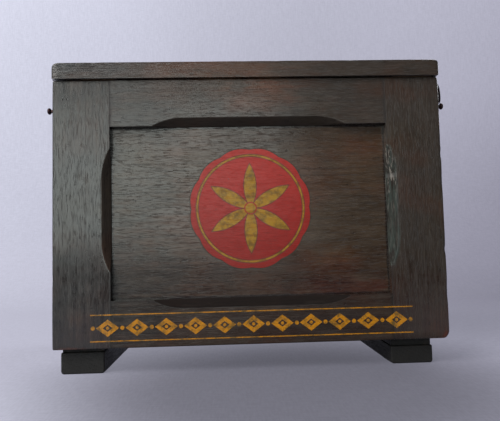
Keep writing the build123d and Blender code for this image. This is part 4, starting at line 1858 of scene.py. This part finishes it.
@dataclass
class SideCatches:
    """The studs in the stiles, and the hooks on the lid's ends."""

    finishes: Finishes
    plate_face: float = 1.7 * MM
    plate_reach: float = 20.0 * MM
    plate_margin: float = 1.0 * MM
    plate_ease: float = 0.3 * MM
    screw_ease: float = 0.2 * MM
    lug_inner: float = 0.9 * MM
    lug_sections: tuple[tuple[float, float, float], ...] = (
        (6.2 * MM, 1.9 * MM, 0.7 * MM),
        (8.0 * MM, 4.2 * MM, 1.7 * MM),
        (11.0 * MM, 6.0 * MM, 2.3 * MM),
        (15.0 * MM, 7.0 * MM, 2.8 * MM),
        (20.0 * MM, 7.25 * MM, 2.9 * MM),
        (24.0 * MM, 7.25 * MM, 2.8 * MM),
        (26.4 * MM, 6.9 * MM, 2.5 * MM),
        (27.7 * MM, 5.9 * MM, 1.9 * MM),
        (28.3 * MM, 4.4 * MM, 1.0 * MM),
    )
    lug_squareness: float = 0.42
    lug_flatness: float = 0.85
    lug_steps: int = 14
    stud_buried: float = 14.0 * MM
    stud_point: float = 1.5 * MM
    stud_point_radius: float = 0.2 * MM
    stud_taper: float = 0.9
    stud_top_radius: float = 0.12 * MM
    stud_neck: float = 1.3 * MM
    stud_neck_length: float = 2.8 * MM
    stud_fullness: float = 0.8
    stud_steps: int = 12

    def build(self) -> None:
        """Make the studs and hooks, and dress the hooks' screws."""
        for hand in (Hand("left", -1, Body.LEFT_HOOK), Hand("right", 1, Body.RIGHT_HOOK)):
            self.stud(hand)
            self.plate(hand)
            self.lug(hand)
            dress_node(f"{hand.name}_hook_screw", self.finishes.brass_dark, self.screw_ease)

    def plate(self, hand: Hand) -> None:
        """Make one hook's flat plate.

        Args:
            hand: The side of the case.
        """
        node = f"{hand.name}_hook"
        low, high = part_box(node)
        margin = Vector((0.0, self.plate_margin, self.plate_margin))
        near, far = sorted(hand.side * (hand.face() + out) for out in (self.plate_face, self.plate_reach))
        cutter = box_mesh(Vector((near, low.y, low.z)) - margin, Vector((far, high.y, high.z)) + margin)
        plate = as_piece(welded(node), f"hook_{hand.name}")
        carve(plate, [cutter])
        settle(plate, hand.body, [node], self.finishes.brass_dark)
        soften(plate, self.plate_ease)

    def lug(self, hand: Hand) -> None:
        """Make the swelling lug that one hook is lifted by.

        Args:
            hand: The side of the case; the hook lies back on the left and hangs on the right.
        """
        pivot, inner = middle_of(f"{hand.name}_hook_screw"), hand.face() + self.lug_inner
        rings = []
        for drop, out, half in self.lug_sections:
            ring = []
            for i in range(self.lug_steps + 1):
                turn = math.pi * (i / self.lug_steps - 0.5)
                spread = math.copysign(abs(math.sin(turn)) ** self.lug_flatness, turn) * half
                swell = (out - self.lug_inner) * max(math.cos(turn), 0.0) ** self.lug_squareness
                y, z = (spread, -drop) if hand.side > 0 else (drop, spread)
                ring.append(Vector((hand.side * (inner + swell), pivot.y + y, pivot.z + z)))
            rings.append(ring)
        piece = as_piece(skin(rings), f"hook_lug_{hand.name}")
        settle(piece, hand.body, [], self.finishes.brass_dark)
        modify(piece, "SUBSURF", levels=1, render_levels=1)

    def stud(self, hand: Hand) -> None:
        """Turn one stud with a round head.

        Args:
            hand: The side of the case.
        """
        node = f"{hand.name}_catch_stud"
        low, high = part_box(node)
        middle, side, face = middle_of(node), hand.side, hand.face()
        head, neck, start = (high.y - low.y) / 2, self.stud_neck, self.stud_neck_length
        thick = abs((high if side > 0 else low).x) - face - start
        outline = [(-self.stud_buried, self.stud_point_radius),
                   (-self.stud_buried + self.stud_point, neck * self.stud_taper), (0.0, neck), (start, neck)]
        for i in range(self.stud_steps + 1):
            turn = math.pi * (i / self.stud_steps)
            radius = max(head * math.sin(turn) ** self.stud_fullness, self.stud_top_radius if i else neck)
            outline.append((start + thick * (1 - math.cos(turn)) / 2, radius))
        made = lathe(outline, Vector((side, 0, 0)), Vector((side * face, middle.y, middle.z)))
        piece = as_piece(made, f"stud_{hand.name}")
        settle(piece, Body.CARCASS, [node], self.finishes.brass_dark)


@dataclass(frozen=True)
class Lamp:
    """One soft lamp: where it is, what it faces, its size, power and colour."""

    name: str
    place: Place
    aim: Place
    size: Span
    power: float
    colour: Colour

    def hang(self) -> None:
        """Make the lamp."""
        data = bpy.data.lights.new(self.name, "AREA")
        data.shape = "RECTANGLE"
        data.size, data.size_y = self.size
        data.energy = self.power
        data.color = self.colour
        lamp = bpy.data.objects.new(self.name, data)
        bpy.context.scene.collection.objects.link(lamp)
        lamp.location = self.place
        lamp.visible_camera = False
        lamp.rotation_euler = (Vector(self.aim) - Vector(self.place)).to_track_quat("-Z", "Y").to_euler()


@dataclass
class Studio:
    """The floor, backdrop, lamps and camera."""

    camera_place: Place = (-19.95 * MM, -539.67 * MM, 101.93 * MM)
    yaw: float = math.radians(2.426)
    pitch: float = math.radians(3.869)
    roll: float = math.radians(-1.372)
    lens: float = 38.754
    sensor: float = 36.0
    nearest: float = 0.01
    sweep_radius: float = 0.35
    sweep_steps: int = 24
    floor_front: float = -1.6
    floor_rows: Span = (-0.4, 0.0)
    floor_back: float = 0.75
    half_width: float = 2.2
    wall_height: float = 2.0
    sky: float = 0.105
    sky_colour: Colour = (0.93, 0.95, 1.0)

    def build(self) -> None:
        """Make the stage, the light and the camera."""
        self.stage()
        self.lamps()
        self.camera()

    def stage(self) -> None:
        """Make one sweep of cloth, floor and backdrop."""
        bend = self.floor_back - self.sweep_radius
        outline = [(y, 0.0) for y in (self.floor_front, *self.floor_rows, bend)]
        for i in range(1, self.sweep_steps + 1):
            turn = math.pi / 2 * i / self.sweep_steps
            outline.append((bend + self.sweep_radius * math.sin(turn), self.sweep_radius * (1 - math.cos(turn))))
        outline.append((self.floor_back, self.wall_height))
        made = bmesh.new()
        rows = [[made.verts.new((x, y, z)) for x in (-self.half_width, 0.0, self.half_width)] for y, z in outline]
        for first, second in zip(rows, rows[1:]):
            for i in range(len(first) - 1):
                made.faces.new((first[i], first[i + 1], second[i + 1], second[i]))
        cloth = as_piece(made, "cloth_sweep")
        cloth.data.materials.append(ClothFinish().build())

    def lamps(self) -> None:
        """Set the lamps and an even sky."""
        for lamp in (
            Lamp("window", (-0.45, -1.45, 0.36), (-0.45, 0.0, 0.36), (1.25, 0.52), 7.3, (0.93, 1.0, 0.96)),
            Lamp("key_left", (-1.10, -1.00, 1.35), (0.0, 0.0, 0.10), (1.2, 1.2), 46.0, (1.0, 0.98, 0.96)),
            Lamp("back_right", (0.70, 0.62, 0.75), (0.0, 0.05, 0.12), (0.8, 0.8), 9.0, (0.97, 0.98, 1.0)),
        ):
            lamp.hang()
        world = bpy.data.worlds.new("studio_sky")
        world.use_nodes = True
        background = world.node_tree.nodes["Background"]
        background.inputs["Color"].default_value = (*self.sky_colour, 1.0)
        background.inputs["Strength"].default_value = self.sky
        bpy.context.scene.world = world

    def camera(self) -> None:
        """Set the camera at the photograph's viewpoint."""
        data = bpy.data.cameras.new("camera")
        data.lens = self.lens
        data.sensor_width = self.sensor
        data.sensor_fit = "HORIZONTAL"
        data.clip_start = self.nearest
        camera = bpy.data.objects.new("camera", data)
        bpy.context.scene.collection.objects.link(camera)
        turn = Matrix.Identity(3)
        for angle, axis in ((-self.yaw, "Z"), (self.pitch, "X"), (-self.roll, "Y")):
            turn = turn @ Matrix.Rotation(angle, 3, axis)
        right, forward, up = (turn @ Vector(axis) for axis in ((1, 0, 0), (0, 1, 0), (0, 0, 1)))
        basis = Matrix((right, up, -forward)).transposed().to_4x4()
        camera.matrix_world = Matrix.Translation(self.camera_place) @ basis
        bpy.context.scene.camera = camera


def main() -> None:
    """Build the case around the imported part."""
    logging.basicConfig(level=logging.INFO, format="%(name)s: %(message)s")
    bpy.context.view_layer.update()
    scene = bpy.context.scene
    scene.view_settings.view_transform = "Standard"
    Studio().build()
    finishes = Finishes()
    for assembly in (FrontFrame, Carcass, Lid, Feet, Hinges, SideCatches):
        assembly(finishes).build()
        log.info("%s built", assembly.__name__)
    bpy.context.view_layer.update()


if __name__ == "__main__":
    main()
